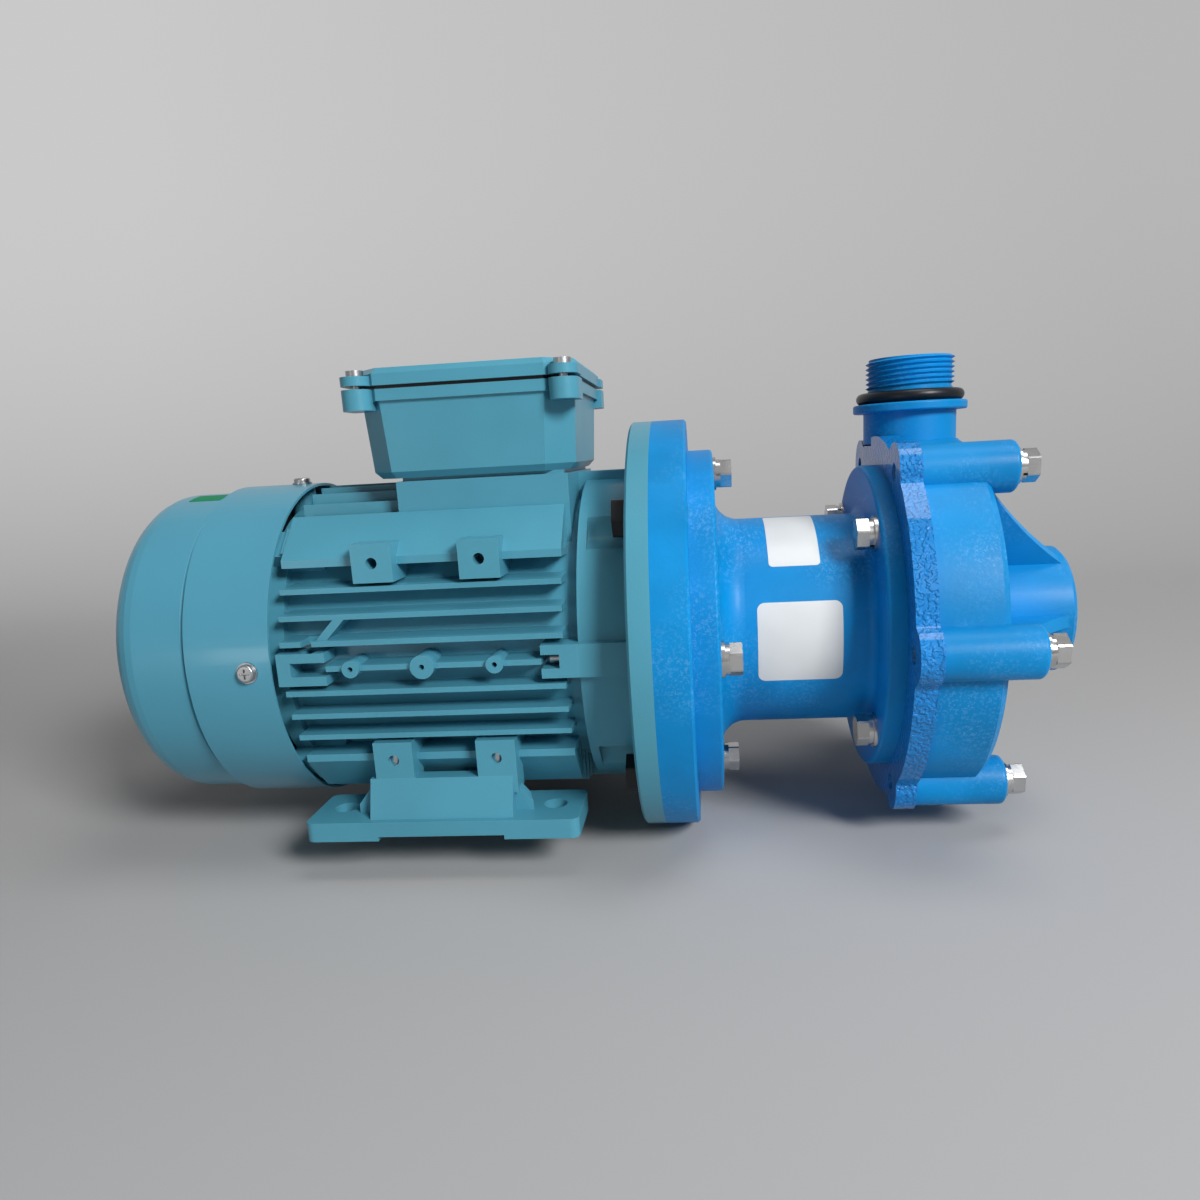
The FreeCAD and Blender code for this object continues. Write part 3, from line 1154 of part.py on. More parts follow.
def discharge_passage():
    """Diffuser from the volute's end up through the neck."""
    middle_x = (SEAT_X + VOLUTE_END_X) / 2
    half = VOLUTE_DEEP / 2 - 0.5
    y0, z0 = on_circle(VOLUTE_END_R - half - 1, 42)
    lower = ellipse_wire(middle_x, y0, z0, half, half, 30)
    middle = ellipse_wire(middle_x, NECK_UP_Y + 3, PLATFORM_Z - 14, half, half + 2.5, 12)
    step = 0.4
    top = COLLAR_Z - 2
    upper = ellipse_wire(NECK_UP_AXIS_X, NECK_UP_Y, top, DISCHARGE_BORE_R - step, DISCHARGE_BORE_R - step, 0)
    diffuser = Part.makeLoft([lower, middle, upper], True, False)
    bore = along_z(DISCHARGE_BORE_R, NECK_UP_AXIS_X, NECK_UP_Y, top - step, SPIGOT_TOP_Z)
    return [diffuser, bore]


def casing_ribs():
    """Webs from the upper bolt bosses to the port, with nearly straight crests."""
    x0 = CASING_REAR_X + CASING_WALL_END - 2
    end = PORT_FACE_X - RIB_END_BACK
    inner = PORT_R - 2
    start = Vec(RIB_START_X, CASING_BOLT_R - CASING_BOSS_R, SHAFT_HEIGHT)
    finish = Vec(end, inner, SHAFT_HEIGHT)
    middle = (start + finish) / 2 + Vec(-RIB_SAG, -RIB_SAG, 0)
    edge = Part.Arc(start, middle, finish).toShape()
    boss_in = Vec(RIB_START_X, CASING_BOLT_R, SHAFT_HEIGHT)
    low_in, low_out = Vec(x0, inner, SHAFT_HEIGHT), Vec(x0, CASING_BOLT_R, SHAFT_HEIGHT)
    corners = [finish, low_in, low_out, boss_in, start]
    sides = [Part.makeLine(first, second) for first, second in zip(corners, corners[1:])]
    face = Part.Face(Part.Wire([edge] + sides))
    face.translate(Vec(0, 0, -RIB_THICK / 2))
    rib = face.extrude(Vec(0, 0, RIB_THICK))
    bolt_step = 360.0 / CASING_BOLTS
    return [turned(rib, CASING_BOLT_TURN + i * bolt_step) for i in range(CASING_RIBS)]


def casing_body():
    x0 = CASING_REAR_X
    wall_x = x0 + CASING_WALL_END
    dome_x = wall_x + CASING_FRONT_RISE
    corner = CASING_EDGE_R
    profile = [(x0, 0), (x0, CASING_R), (wall_x - corner, CASING_R), (wall_x, CASING_R - corner),
               (dome_x, PORT_R), (PORT_FACE_X - 2, PORT_R), (PORT_FACE_X, PORT_R - 2), (PORT_FACE_X, 0)]
    form = lathe(profile)
    form = rounded(form, PORT_FILLET, lambda e: is_circle(e, dome_x, PORT_R))
    boss = along_x(CASING_BOSS_R, x0, x0 + CASING_BOSS_END, CASING_BOLT_R)
    boss = boss.makeFillet(2.0, [e for e in boss.Edges if is_boss_end(e, x0 + CASING_BOSS_END)])
    return joined([form] + casing_ring(boss) + casing_ribs() + neck_forms())


def is_boss_end(edge, x):
    return isinstance(edge.Curve, Part.Circle) and abs(edge.Curve.Center.x - x) < 1e-4


def neck_forms():
    """Platform, neck, collar and threaded spigot of the discharge."""
    x, y = NECK_UP_AXIS_X, NECK_UP_Y
    stand_r = NECK_UP_R + PLATFORM_STEP
    foot_z = SHAFT_HEIGHT + CASING_R * 0.5
    rear = block(CASING_REAR_X, x, y - stand_r, y + stand_r, foot_z, PLATFORM_Z)
    base = joined([rear, along_z(stand_r, x, y, foot_z, PLATFORM_Z)])
    base = base.common(along_x(CASING_BOLT_R + LOBE_R, CASING_REAR_X, PORT_FACE_X))
    neck = along_z(NECK_UP_R, x, y, PLATFORM_Z, COLLAR_Z)
    shelf = along_z(NECK_UP_R, x, y, PLATFORM_Z - NECK_SHELF, PLATFORM_Z)
    collar = along_z(COLLAR_R, x, y, COLLAR_Z, COLLAR_Z + COLLAR_THICK)
    collar = collar.makeFillet(1.0, [e for e in collar.Edges if isinstance(e.Curve, Part.Circle)])
    spigot = along_z(THREAD_ROOT_R, x, y, COLLAR_Z, SPIGOT_TOP_Z)
    seat = along_z(COLLAR_R - O_RING_SET_IN - 2 * DISCHARGE_O_RING_R, x, y, COLLAR_Z, COLLAR_Z + COLLAR_THICK + 2 * DISCHARGE_O_RING_R + 1)
    return [base, neck, shelf, collar, spigot, seat]


def spider():
    """Arms in the suction throat that hold the spindle's front end."""
    x0 = SPINDLE_FRONT_X
    x1 = x0 + SPIDER_ARM_LONG + 4
    hub = along_x(THRUST_R, x0, x1 - 2)
    nose = cone_x(THRUST_R, 4.0, x1 - 2, x1 + 4)
    arm_x = VOLUTE_END_X + IMPELLER_NECK_LONG
    arm = block(arm_x, arm_x + SPIDER_ARM_LONG, 0, THROAT_R + 2, SHAFT_HEIGHT - SPIDER_ARM_THICK / 2, SHAFT_HEIGHT + SPIDER_ARM_THICK / 2)
    return joined([hub, nose] + ring_of(arm, SPIDER_ARMS, 90)).cut(along_x(SPINDLE_R + FIT, x0 - 1, x0 + SPINDLE_SEAT))


def pump_casing():
    port_x = PORT_FACE_X - PORT_THREAD_DEEP
    neck_r = IMPELLER_EYE_R + IMPELLER_NECK_WALL + GAP
    cutters = [along_x(SHELL_SEAT_R + 0.1, CASING_REAR_X, SEAT_X), volute()] + discharge_passage()
    cutters += [along_x(neck_r, SEAT_X, VOLUTE_END_X + IMPELLER_NECK_LONG), along_x(THROAT_R, SEAT_X, PORT_FACE_X)]
    cutters += [along_x(PORT_THREAD_R, port_x, PORT_FACE_X), cone_x(THROAT_R, PORT_THREAD_R, port_x - 3, port_x)]
    cutters.append(cone_x(PORT_THREAD_R, PORT_THREAD_R + 1.5, PORT_FACE_X - 1.5, PORT_FACE_X))
    groove_r = O_RING_R + 0.2
    cutters.append(tube_x(CASING_O_RING_PITCH_R + groove_r, CASING_O_RING_PITCH_R - groove_r, SEAT_X, SEAT_X + 2 * O_RING_R))
    hole = along_x(M8_R + SCREW_PLAY, CASING_REAR_X, PORT_FACE_X, CASING_BOLT_R)
    body = less(casing_body(), cutters + casing_ring(hole))
    return joined([body, spider()])


def casing_bolts():
    seat = CASING_REAR_X + CASING_BOSS_END + FLAT_WASHER + SPRING_WASHER
    bolt = hex_bolt_x(M8_R - FIT, M8_FLATS, M8_HEAD, seat, RING_REAR_X + 1, CASING_BOLT_R, SHAFT_HEIGHT)
    return Part.makeCompound(casing_ring(bolt))


def casing_washers():
    seat = CASING_REAR_X + CASING_BOSS_END
    pair = washer_pair_x(M8_WASHER_R, M8_SPRING_R, M8_R, seat, 1.0, CASING_BOLT_R, SHAFT_HEIGHT)
    return Part.makeCompound([copy for washer in pair for copy in casing_ring(washer)])


def casing_o_ring():
    return Part.makeTorus(CASING_O_RING_PITCH_R, O_RING_R, Vec(SEAT_X + O_RING_R, 0, SHAFT_HEIGHT), ALONG_X)


def discharge_o_ring():
    pitch = COLLAR_R - O_RING_SET_IN - DISCHARGE_O_RING_R + FIT
    place = Vec(NECK_UP_AXIS_X, NECK_UP_Y, COLLAR_Z + COLLAR_THICK + DISCHARGE_O_RING_R)
    return Part.makeTorus(pitch, DISCHARGE_O_RING_R, place, ALONG_Z)


# Magnetic drive
def containment_can():
    """Closed can between the magnets, with the flange in the casing."""
    inner = CAN_R - CAN_WALL
    end = CAN_END_X
    floor = end + CAN_END_WALL
    seat_x = CARRIER_REAR_X - GAP - THRUST_LONG
    profile = [(end, 0), (end, CAN_R - 2), (end + 2, CAN_R), (CASING_REAR_X, CAN_R), (CASING_REAR_X, SHELL_SEAT_R),
               (SEAT_X, SHELL_SEAT_R), (SEAT_X, inner), (floor, inner), (floor, THRUST_R), (seat_x, THRUST_R), (seat_x, 0)]
    hole = along_x(SPINDLE_R + FIT, seat_x - SPINDLE_SEAT, seat_x)
    return lathe(profile).cut(hole)


def magnet_blocks(inner, outer, count, arc, x0, x1):
    """Curved magnet blocks in a ring."""
    ring = tube_x(outer, inner, x0, x1)
    reach = outer * 1.2
    half = math.radians(arc / 2)
    wedge = prism_x([(0, SHAFT_HEIGHT), (reach * math.cos(half), SHAFT_HEIGHT - reach * math.sin(half)),
                     (reach * math.cos(half), SHAFT_HEIGHT + reach * math.sin(half))], x0, x1)
    return ring_of(ring.common(wedge), count)


def drive_hub():
    """Outer magnet cup on the motor shaft."""
    x0 = FLANGE_FACE_X + HUB_REAR
    web = HUB_WEB_X
    end = MAGNET_FRONT_X + CUP_LIP
    profile = [(x0, SHAFT_END_R + FIT), (x0, HUB_BOSS_R), (web, HUB_BOSS_R), (web, CUP_R - 3), (web + 3, CUP_R), (end, CUP_R),
               (end, CUP_BORE_R), (web + HUB_WEB, CUP_BORE_R), (web + HUB_WEB, SHAFT_END_R + FIT)]
    x_key = key_ends()[0]
    slot = block(x_key - 1, web + HUB_WEB, -KEY_WIDE / 2 - FIT, KEY_WIDE / 2 + FIT, SHAFT_HEIGHT,
                 SHAFT_HEIGHT + SHAFT_END_R - KEY_SEAT + KEY_TALL + 0.2)
    screw = along_y(HUB_SCREW_R, x0 + 8, SHAFT_HEIGHT, 0, HUB_BOSS_R + 1)
    return less(lathe(profile), [slot, screw])


def hub_set_screw():
    x = FLANGE_FACE_X + HUB_REAR + HUB_SCREW_IN
    body = along_y(HUB_SCREW_R - FIT, x, SHAFT_HEIGHT, SHAFT_END_R + FIT, HUB_BOSS_R - 0.5)
    return body.cut(along_y(HUB_SCREW_R * 0.5, x, SHAFT_HEIGHT, HUB_BOSS_R - 3, HUB_BOSS_R))


def drive_magnets():
    return Part.makeCompound(magnet_blocks(CUP_BORE_R - MAGNET_THICK, CUP_BORE_R - FIT, MAGNETS, MAGNET_ARC,
                                           MAGNET_REAR_X, MAGNET_FRONT_X))


def carrier_r():
    return CAN_R - CAN_WALL - CARRIER_GAP


def magnet_carrier():
    """Inner rotor with closed pockets for its magnets."""
    outer = carrier_r()
    body = tube_x(outer, BUSH_R + FIT, CARRIER_REAR_X, IMPELLER_REAR_X)
    pocket = tube_x(outer - CARRIER_SKIN, outer - CARRIER_SKIN - INNER_MAGNET_THICK, MAGNET_REAR_X, MAGNET_FRONT_X)
    return body.cut(pocket)


def inner_magnets():
    outer = carrier_r() - CARRIER_SKIN - FIT
    return Part.makeCompound(magnet_blocks(outer - INNER_MAGNET_THICK + 2 * FIT, outer, MAGNETS, MAGNET_ARC,
                                           MAGNET_REAR_X + FIT, MAGNET_FRONT_X - FIT))


def bushing():
    return tube_x(BUSH_R, SPINDLE_R + FIT, CARRIER_REAR_X, IMPELLER_REAR_X)


def spindle():
    chamfer = 0.8
    x0 = CARRIER_REAR_X - GAP - THRUST_LONG - SPINDLE_SEAT + FIT
    x1 = SPINDLE_FRONT_X + SPINDLE_SEAT - FIT
    return lathe([(x0, 0), (x0, SPINDLE_R - chamfer), (x0 + chamfer, SPINDLE_R), (x1 - chamfer, SPINDLE_R),
                  (x1, SPINDLE_R - chamfer), (x1, 0)])


def rear_thrust_ring():
    x1 = CARRIER_REAR_X - GAP
    return tube_x(THRUST_R - 0.5, SPINDLE_R + FIT, x1 - THRUST_LONG, x1)


def front_thrust_ring():
    return tube_x(THRUST_R, SPINDLE_R + FIT, SPINDLE_FRONT_X - THRUST_LONG, SPINDLE_FRONT_X)


def impeller_vane(x0, x1):
    """One backward curved vane, as a bent strip between two arcs."""
    half = IMPELLER_VANE_THICK / 2
    inner, outer = IMPELLER_EYE_R + 1, IMPELLER_R - 0.5
    middle = (inner + outer) / 2
    places = [(inner, 0.0), (middle, -24.0), (outer, -58.0)]
    def edge(side):
        return [Vec(x0, *on_circle(r, a + side * math.degrees(half / r))) for r, a in places]
    front, back = edge(1), edge(-1)
    outline = [Part.Arc(*front).toShape(), Part.makeLine(front[2], back[2]),
               Part.Arc(back[2], back[1], back[0]).toShape(), Part.makeLine(back[0], front[0])]
    return Part.Face(Part.Wire(outline)).extrude(Vec(x1 - x0, 0, 0))


def impeller():
    """Closed impeller with its rear boss and front wear neck."""
    x0 = IMPELLER_REAR_X
    back = SEAT_X + IMPELLER_BACK_GAP
    vane = back + IMPELLER_BACK_SHROUD
    front = vane + IMPELLER_VANE_WIDE
    face = front + IMPELLER_FRONT_SHROUD
    neck = VOLUTE_END_X + IMPELLER_NECK_LONG - GAP * 2
    neck_r = IMPELLER_EYE_R + IMPELLER_NECK_WALL
    rear = lathe([(x0, SPINDLE_R + GAP), (x0, IMPELLER_HUB_R), (back, IMPELLER_HUB_R + 2), (back, IMPELLER_R), (vane, IMPELLER_R),
                  (vane + 0.5, IMPELLER_HUB_R + 3), (SPINDLE_FRONT_X - THRUST_LONG - GAP, THRUST_R + 1),
                  (SPINDLE_FRONT_X - THRUST_LONG - GAP, SPINDLE_R + GAP)])
    cover = lathe([(front, IMPELLER_R), (front, IMPELLER_EYE_R + 3), (front + 3, IMPELLER_EYE_R), (neck, IMPELLER_EYE_R),
                   (neck, neck_r), (face + 1, neck_r), (face, neck_r + 1), (face, IMPELLER_R)])
    vanes = ring_of(impeller_vane(vane - 0.5, front + 0.5), IMPELLER_VANES)
    return joined([rear, cover] + vanes)


def pieces():
    """Every piece of the pump with its name."""
    near, far = mirrored_y(foot()), foot()
    rear_face = -FRAME_HALF - REAR_LUG_LONG
    return {
        "motor_frame": motor_frame(), "stator_core": stator_core(), "stator_windings": stator_windings(),
        "rotor_core": rotor_core(), "rotor_cage": rotor_cage(), "motor_shaft": motor_shaft(), "shaft_key": shaft_key(),
        "front_bearing_outer_ring": bearing_outer(FRONT_BEARING_X), "front_bearing_inner_ring": bearing_inner(FRONT_BEARING_X),
        "front_bearing_balls": bearing_cage(FRONT_BEARING_X), "rear_bearing_outer_ring": bearing_outer(REAR_BEARING_X),
        "rear_bearing_inner_ring": bearing_inner(REAR_BEARING_X), "rear_bearing_balls": bearing_cage(REAR_BEARING_X),
        "front_end_shield": front_end_shield(),
        "front_shield_screws": tie_screws(FLANGE_FACE_X - FLANGE_THICK - TIE_SCREW_R * 4, FRAME_HALF - LUG_LONG + 3, 0),
        "shaft_seal": shaft_seal(), "rear_end_shield": rear_end_shield(),
        "rear_shield_screws": tie_screws(rear_face, -FRAME_HALF + LUG_LONG - 3, 45),
        "wave_washer": wave_washer(), "cooling_fan": cooling_fan(), "fan_clip": fan_clip(), "fan_cover": fan_cover(),
        "fan_cover_screws": cover_screws(), "near_foot": near, "far_foot": far, "foot_screws": foot_screws(),
        "terminal_box": terminal_box(), "box_gasket": box_gasket(), "lid_gasket": lid_gasket(),
        "terminal_box_lid": terminal_box_lid(), "lid_screws": lid_screws(), "terminal_block": terminal_block(),
        "terminal_studs": terminal_studs(), "adapter_plate": adapter_plate(), "flange_bolts": flange_bolts(),
        "lantern": lantern(), "lantern_bolts": lantern_bolts(), "lantern_bolt_washers": lantern_washers(),
        "ring_bolts": ring_bolts(), "ring_bolt_washers": ring_bolt_washers(), "clamp_ring": clamp_ring(),
        "pump_casing": pump_casing(), "casing_bolts": casing_bolts(), "casing_bolt_washers": casing_washers(),
        "casing_o_ring": casing_o_ring(), "containment_can": containment_can(), "drive_magnet_hub": drive_hub(),
        "hub_set_screw": hub_set_screw(), "drive_magnets": drive_magnets(), "inner_magnet_carrier": magnet_carrier(),
        "inner_magnets": inner_magnets(), "spindle_bushing": bushing(), "pump_spindle": spindle(),
        "rear_thrust_ring": rear_thrust_ring(), "front_thrust_ring": front_thrust_ring(), "impeller": impeller(),
        "discharge_o_ring": discharge_o_ring(),
    }


def main():
    os.makedirs("parts", exist_ok=True)
    for name, shape in pieces().items():
        shape.exportStep("parts/" + name + ".step")
        print(name, len(shape.Solids), "solids", round(shape.Volume / 1000, 2), "cm3", "valid", shape.isValid())


main()
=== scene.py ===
"""Magnetic drive pump: finishes, pipe thread, bare labels, stage, light and camera."""

import json
import logging
import math
from dataclasses import dataclass, field
from enum import Enum

import bpy
from mathutils import Matrix, Vector
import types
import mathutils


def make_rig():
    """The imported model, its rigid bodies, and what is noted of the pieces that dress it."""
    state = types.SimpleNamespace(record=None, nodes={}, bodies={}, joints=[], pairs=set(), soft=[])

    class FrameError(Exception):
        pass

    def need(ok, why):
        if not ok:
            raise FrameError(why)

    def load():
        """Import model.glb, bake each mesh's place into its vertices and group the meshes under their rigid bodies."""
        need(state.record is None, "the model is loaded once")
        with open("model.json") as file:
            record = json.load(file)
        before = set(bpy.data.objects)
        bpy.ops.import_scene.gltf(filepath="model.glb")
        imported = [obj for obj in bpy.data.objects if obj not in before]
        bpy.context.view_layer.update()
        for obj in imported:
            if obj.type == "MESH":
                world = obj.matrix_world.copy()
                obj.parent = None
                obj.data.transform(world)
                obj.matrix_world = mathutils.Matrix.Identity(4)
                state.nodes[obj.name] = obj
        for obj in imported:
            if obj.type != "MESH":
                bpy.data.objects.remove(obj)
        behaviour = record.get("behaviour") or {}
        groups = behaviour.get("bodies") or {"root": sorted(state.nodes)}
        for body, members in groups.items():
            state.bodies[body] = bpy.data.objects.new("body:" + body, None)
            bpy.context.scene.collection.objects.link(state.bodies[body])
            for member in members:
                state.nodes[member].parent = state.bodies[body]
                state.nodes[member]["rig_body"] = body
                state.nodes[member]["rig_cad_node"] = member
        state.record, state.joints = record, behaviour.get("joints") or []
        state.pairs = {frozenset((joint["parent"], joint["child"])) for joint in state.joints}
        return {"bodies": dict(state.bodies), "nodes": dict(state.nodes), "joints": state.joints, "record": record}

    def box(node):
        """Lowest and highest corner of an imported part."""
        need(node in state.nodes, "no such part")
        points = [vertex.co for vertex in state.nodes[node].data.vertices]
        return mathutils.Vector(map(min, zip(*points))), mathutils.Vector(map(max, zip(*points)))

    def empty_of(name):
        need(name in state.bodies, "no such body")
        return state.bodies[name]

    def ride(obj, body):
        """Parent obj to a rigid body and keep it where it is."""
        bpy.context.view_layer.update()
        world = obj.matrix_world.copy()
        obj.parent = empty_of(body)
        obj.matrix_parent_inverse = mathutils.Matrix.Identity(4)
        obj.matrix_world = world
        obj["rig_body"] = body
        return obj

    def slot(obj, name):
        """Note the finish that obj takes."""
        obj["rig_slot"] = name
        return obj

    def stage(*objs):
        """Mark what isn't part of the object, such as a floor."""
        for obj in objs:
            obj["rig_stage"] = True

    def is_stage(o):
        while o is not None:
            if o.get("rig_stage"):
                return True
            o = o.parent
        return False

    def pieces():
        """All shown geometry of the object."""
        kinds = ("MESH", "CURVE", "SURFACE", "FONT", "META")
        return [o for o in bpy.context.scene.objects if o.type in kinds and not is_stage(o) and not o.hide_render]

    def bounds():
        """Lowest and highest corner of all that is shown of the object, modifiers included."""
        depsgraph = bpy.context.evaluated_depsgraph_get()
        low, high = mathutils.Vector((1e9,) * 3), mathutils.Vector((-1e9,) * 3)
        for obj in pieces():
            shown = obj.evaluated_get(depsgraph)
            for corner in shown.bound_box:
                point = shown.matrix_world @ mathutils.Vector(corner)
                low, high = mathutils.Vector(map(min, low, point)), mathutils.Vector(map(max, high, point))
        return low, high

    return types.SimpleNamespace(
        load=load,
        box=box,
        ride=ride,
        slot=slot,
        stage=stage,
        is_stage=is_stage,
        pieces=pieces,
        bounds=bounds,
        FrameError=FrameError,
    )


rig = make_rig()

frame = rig.load()

LOG = logging.getLogger("pump")
MM = 0.001
SHAFT_Z = 80 * MM
LANTERN_R = 50.7 * MM
COVER_R = 76.4 * MM
HOUSING = "housing"
SMOOTH_ANGLE = math.radians(35)
LINE_SQUEEZE = 0.08
MOTTLE_SCALE = 40.0
MOTTLE_SPAN = (0.3, 0.7)
SKIN_SCALE = 400.0
FIBRE_SCALE = 260.0
FIBRE_TURNS = (0.4, 1.5, 2.6)
FIBRE_SQUEEZE = 0.16
FIBRE_SPAN = (0.56, 0.72)
EDGE_SPAN = (0.98, 0.75)

Colour = tuple[float, float, float]


class Axis(Enum):
    """Direction in which a finish's fine lines run."""

    ALONG_SHAFT = (1.0, LINE_SQUEEZE, LINE_SQUEEZE)
    UPRIGHT = (LINE_SQUEEZE, LINE_SQUEEZE, 1.0)
    EVEN = (1.0, 1.0, 1.0)


class Wiring:
    """Adds and joins the nodes of one node tree."""

    def __init__(self, tree: bpy.types.NodeTree) -> None:
        """Keep the tree.

        Args:
            tree: the material's or group's node tree.
        """
        self.tree = tree

    def add(self, kind: str, **settings: object) -> bpy.types.Node:
        """Add a node.

        Args:
            kind: the node's type name.
            settings: properties set on the node.

        Returns:
            The new node.
        """
        node = self.tree.nodes.new(kind)
        for name, value in settings.items():
            setattr(node, name, value)
        return node

    def join(self, source: bpy.types.NodeSocket, target: bpy.types.NodeSocket) -> None:
        """Link an output to an input."""
        self.tree.links.new(source, target)

    def noise(
        self, vector: bpy.types.NodeSocket, scale: float, detail: float, rough: float = 0.5
    ) -> bpy.types.Node:
        """Add a noise texture on a vector.

        Args:
            vector: where the pattern is read.
            scale: blobs per metre.
            detail: octaves of finer noise.
            rough: weight of the finer octaves.

        Returns:
            The texture node.
        """
        node = self.add("ShaderNodeTexNoise")
        node.inputs["Scale"].default_value = scale
        node.inputs["Detail"].default_value = detail
        node.inputs["Roughness"].default_value = rough
        self.join(vector, node.inputs["Vector"])
        return node

    def span(
        self, source: bpy.types.NodeSocket, low: float, high: float, to_low: float, to_high: float
    ) -> bpy.types.NodeSocket:
        """Map a value from one span to another, held to the second span.

        Args:
            source: the value to map.
            low: start of the first span.
            high: end of the first span.
            to_low: start of the second span.
            to_high: end of the second span.

        Returns:
            The mapped value's socket.
        """
        node = self.add("ShaderNodeMapRange")
        for name, value in (("From Min", low), ("From Max", high), ("To Min", to_low), ("To Max", to_high)):
            node.inputs[name].default_value = value
        self.join(source, node.inputs["Value"])
        return node.outputs["Result"]

    def object_vector(self, stretch: Axis = Axis.EVEN) -> bpy.types.NodeSocket:
        """Object coordinates, squeezed across the given direction.

        Args:
            stretch: the direction in which patterns run long.

        Returns:
            The vector's socket.
        """
        place = self.add("ShaderNodeTexCoord")
        if stretch is Axis.EVEN:
            return place.outputs["Object"]
        mapping = self.add("ShaderNodeMapping")
        along = stretch.value
        mapping.inputs["Scale"].default_value = tuple(LINE_SQUEEZE / part for part in along)
        self.join(place.outputs["Object"], mapping.inputs["Vector"])
        return mapping.outputs["Vector"]


class EffectGroups:
    """Shader node groups that several finishes share."""

    def __init__(self) -> None:
        """Build every group once."""
        self.mottle = self._mottle()
        self.skin = self._skin()
        self.fibre = self._fibre()
        # Edge mask that carries the painted edge highlight of the enamel.
        self.edge_highlight_mask = self._edge_highlight_mask()

    @staticmethod
    def _tree(
        name: str, inputs: dict[str, float], outputs: dict[str, str]
    ) -> tuple[bpy.types.NodeTree, Wiring, bpy.types.Node, bpy.types.Node]:
        """Start a group with a vector input, number inputs and typed outputs.

        Args:
            name: the group's name.
            inputs: number inputs and their defaults.
            outputs: output names and socket types.

        Returns:
            The tree, its wiring, its input node and its output node.
        """
        tree = bpy.data.node_groups.new(name, "ShaderNodeTree")
        tree.interface.new_socket(name="Vector", in_out="INPUT", socket_type="NodeSocketVector")
        for label, value in inputs.items():
            socket = tree.interface.new_socket(name=label, in_out="INPUT", socket_type="NodeSocketFloat")
            socket.default_value = value
        for label, kind in outputs.items():
            tree.interface.new_socket(name=label, in_out="OUTPUT", socket_type=kind)
        wiring = Wiring(tree)
        return tree, wiring, wiring.add("NodeGroupInput"), wiring.add("NodeGroupOutput")

    def _mottle(self) -> bpy.types.NodeTree:
        """Soft patches of lighter and darker colour, from 0 to 1.

        Returns:
            The group's tree.
        """
        shades = {"Shade": "NodeSocketFloat"}
        tree, wiring, given, made = self._tree("soft_mottle", {"Scale": MOTTLE_SCALE}, shades)
        coarse = wiring.noise(given.outputs["Vector"], MOTTLE_SCALE, 3.0)
        wiring.join(given.outputs["Scale"], coarse.inputs["Scale"])
        wiring.join(wiring.span(coarse.outputs["Fac"], *MOTTLE_SPAN, 0.0, 1.0), made.inputs["Shade"])
        return tree

    def _skin(self) -> bpy.types.NodeTree:
        """Low waves of a moulded or painted skin, as a normal.

        Returns:
            The group's tree.
        """
        sizes = {"Scale": SKIN_SCALE, "Depth": 0.0002, "Strength": 0.3}
        tree, wiring, given, made = self._tree("skin_waves", sizes, {"Normal": "NodeSocketVector"})
        waves = wiring.noise(given.outputs["Vector"], SKIN_SCALE, 2.0)
        wiring.join(given.outputs["Scale"], waves.inputs["Scale"])
        bump = wiring.add("ShaderNodeBump")
        wiring.join(waves.outputs["Fac"], bump.inputs["Height"])
        wiring.join(given.outputs["Depth"], bump.inputs["Distance"])
        wiring.join(given.outputs["Strength"], bump.inputs["Strength"])
        wiring.join(bump.outputs["Normal"], made.inputs["Normal"])
        return tree

    def _fibre(self) -> bpy.types.NodeTree:
        """Short fibres that lie every way in a filled plastic, as a mask for a pale colour that is partly the fibres'
        own and partly a painted sheen.

        Returns:
            The group's tree.
        """
        fibres = {"Fibres": "NodeSocketFloat"}
        tree, wiring, given, made = self._tree("laid_fibres", {"Scale": FIBRE_SCALE}, fibres)
        strongest = None
        for turn in FIBRE_TURNS:
            mapping = wiring.add("ShaderNodeMapping")
            mapping.inputs["Rotation"].default_value = (turn, turn * 0.7, turn * 1.3)
            mapping.inputs["Scale"].default_value = (1.0, FIBRE_SQUEEZE, 1.0)
            wiring.join(given.outputs["Vector"], mapping.inputs["Vector"])
            streak = wiring.noise(mapping.outputs["Vector"], FIBRE_SCALE, 2.0, 0.6)
            wiring.join(given.outputs["Scale"], streak.inputs["Scale"])
            mask = wiring.span(streak.outputs["Fac"], *FIBRE_SPAN, 0.0, 1.0)
            if strongest is None:
                strongest = mask
                continue
            larger = wiring.add("ShaderNodeMath", operation="MAXIMUM")
            wiring.join(strongest, larger.inputs[0])
            wiring.join(mask, larger.inputs[1])
            strongest = larger.outputs["Value"]
        wiring.join(strongest, made.inputs["Fibres"])
        return tree

    def _edge_highlight_mask(self) -> bpy.types.NodeTree:
        """Edges and corners, found where a rounded normal leaves the real one, for the painted edge highlight.

        Returns:
            The group's tree.
        """
        tree, wiring, given, made = self._tree("edge_mask", {"Radius": 0.0006}, {"Edge": "NodeSocketFloat"})
        rounded = wiring.add("ShaderNodeBevel", samples=4)
        wiring.join(given.outputs["Radius"], rounded.inputs["Radius"])
        shape = wiring.add("ShaderNodeNewGeometry")
        dot = wiring.add("ShaderNodeVectorMath", operation="DOT_PRODUCT")
        wiring.join(rounded.outputs["Normal"], dot.inputs[0])
        wiring.join(shape.outputs["Normal"], dot.inputs[1])
        wiring.join(wiring.span(dot.outputs["Value"], *EDGE_SPAN, 0.0, 1.0), made.inputs["Edge"])
        return tree


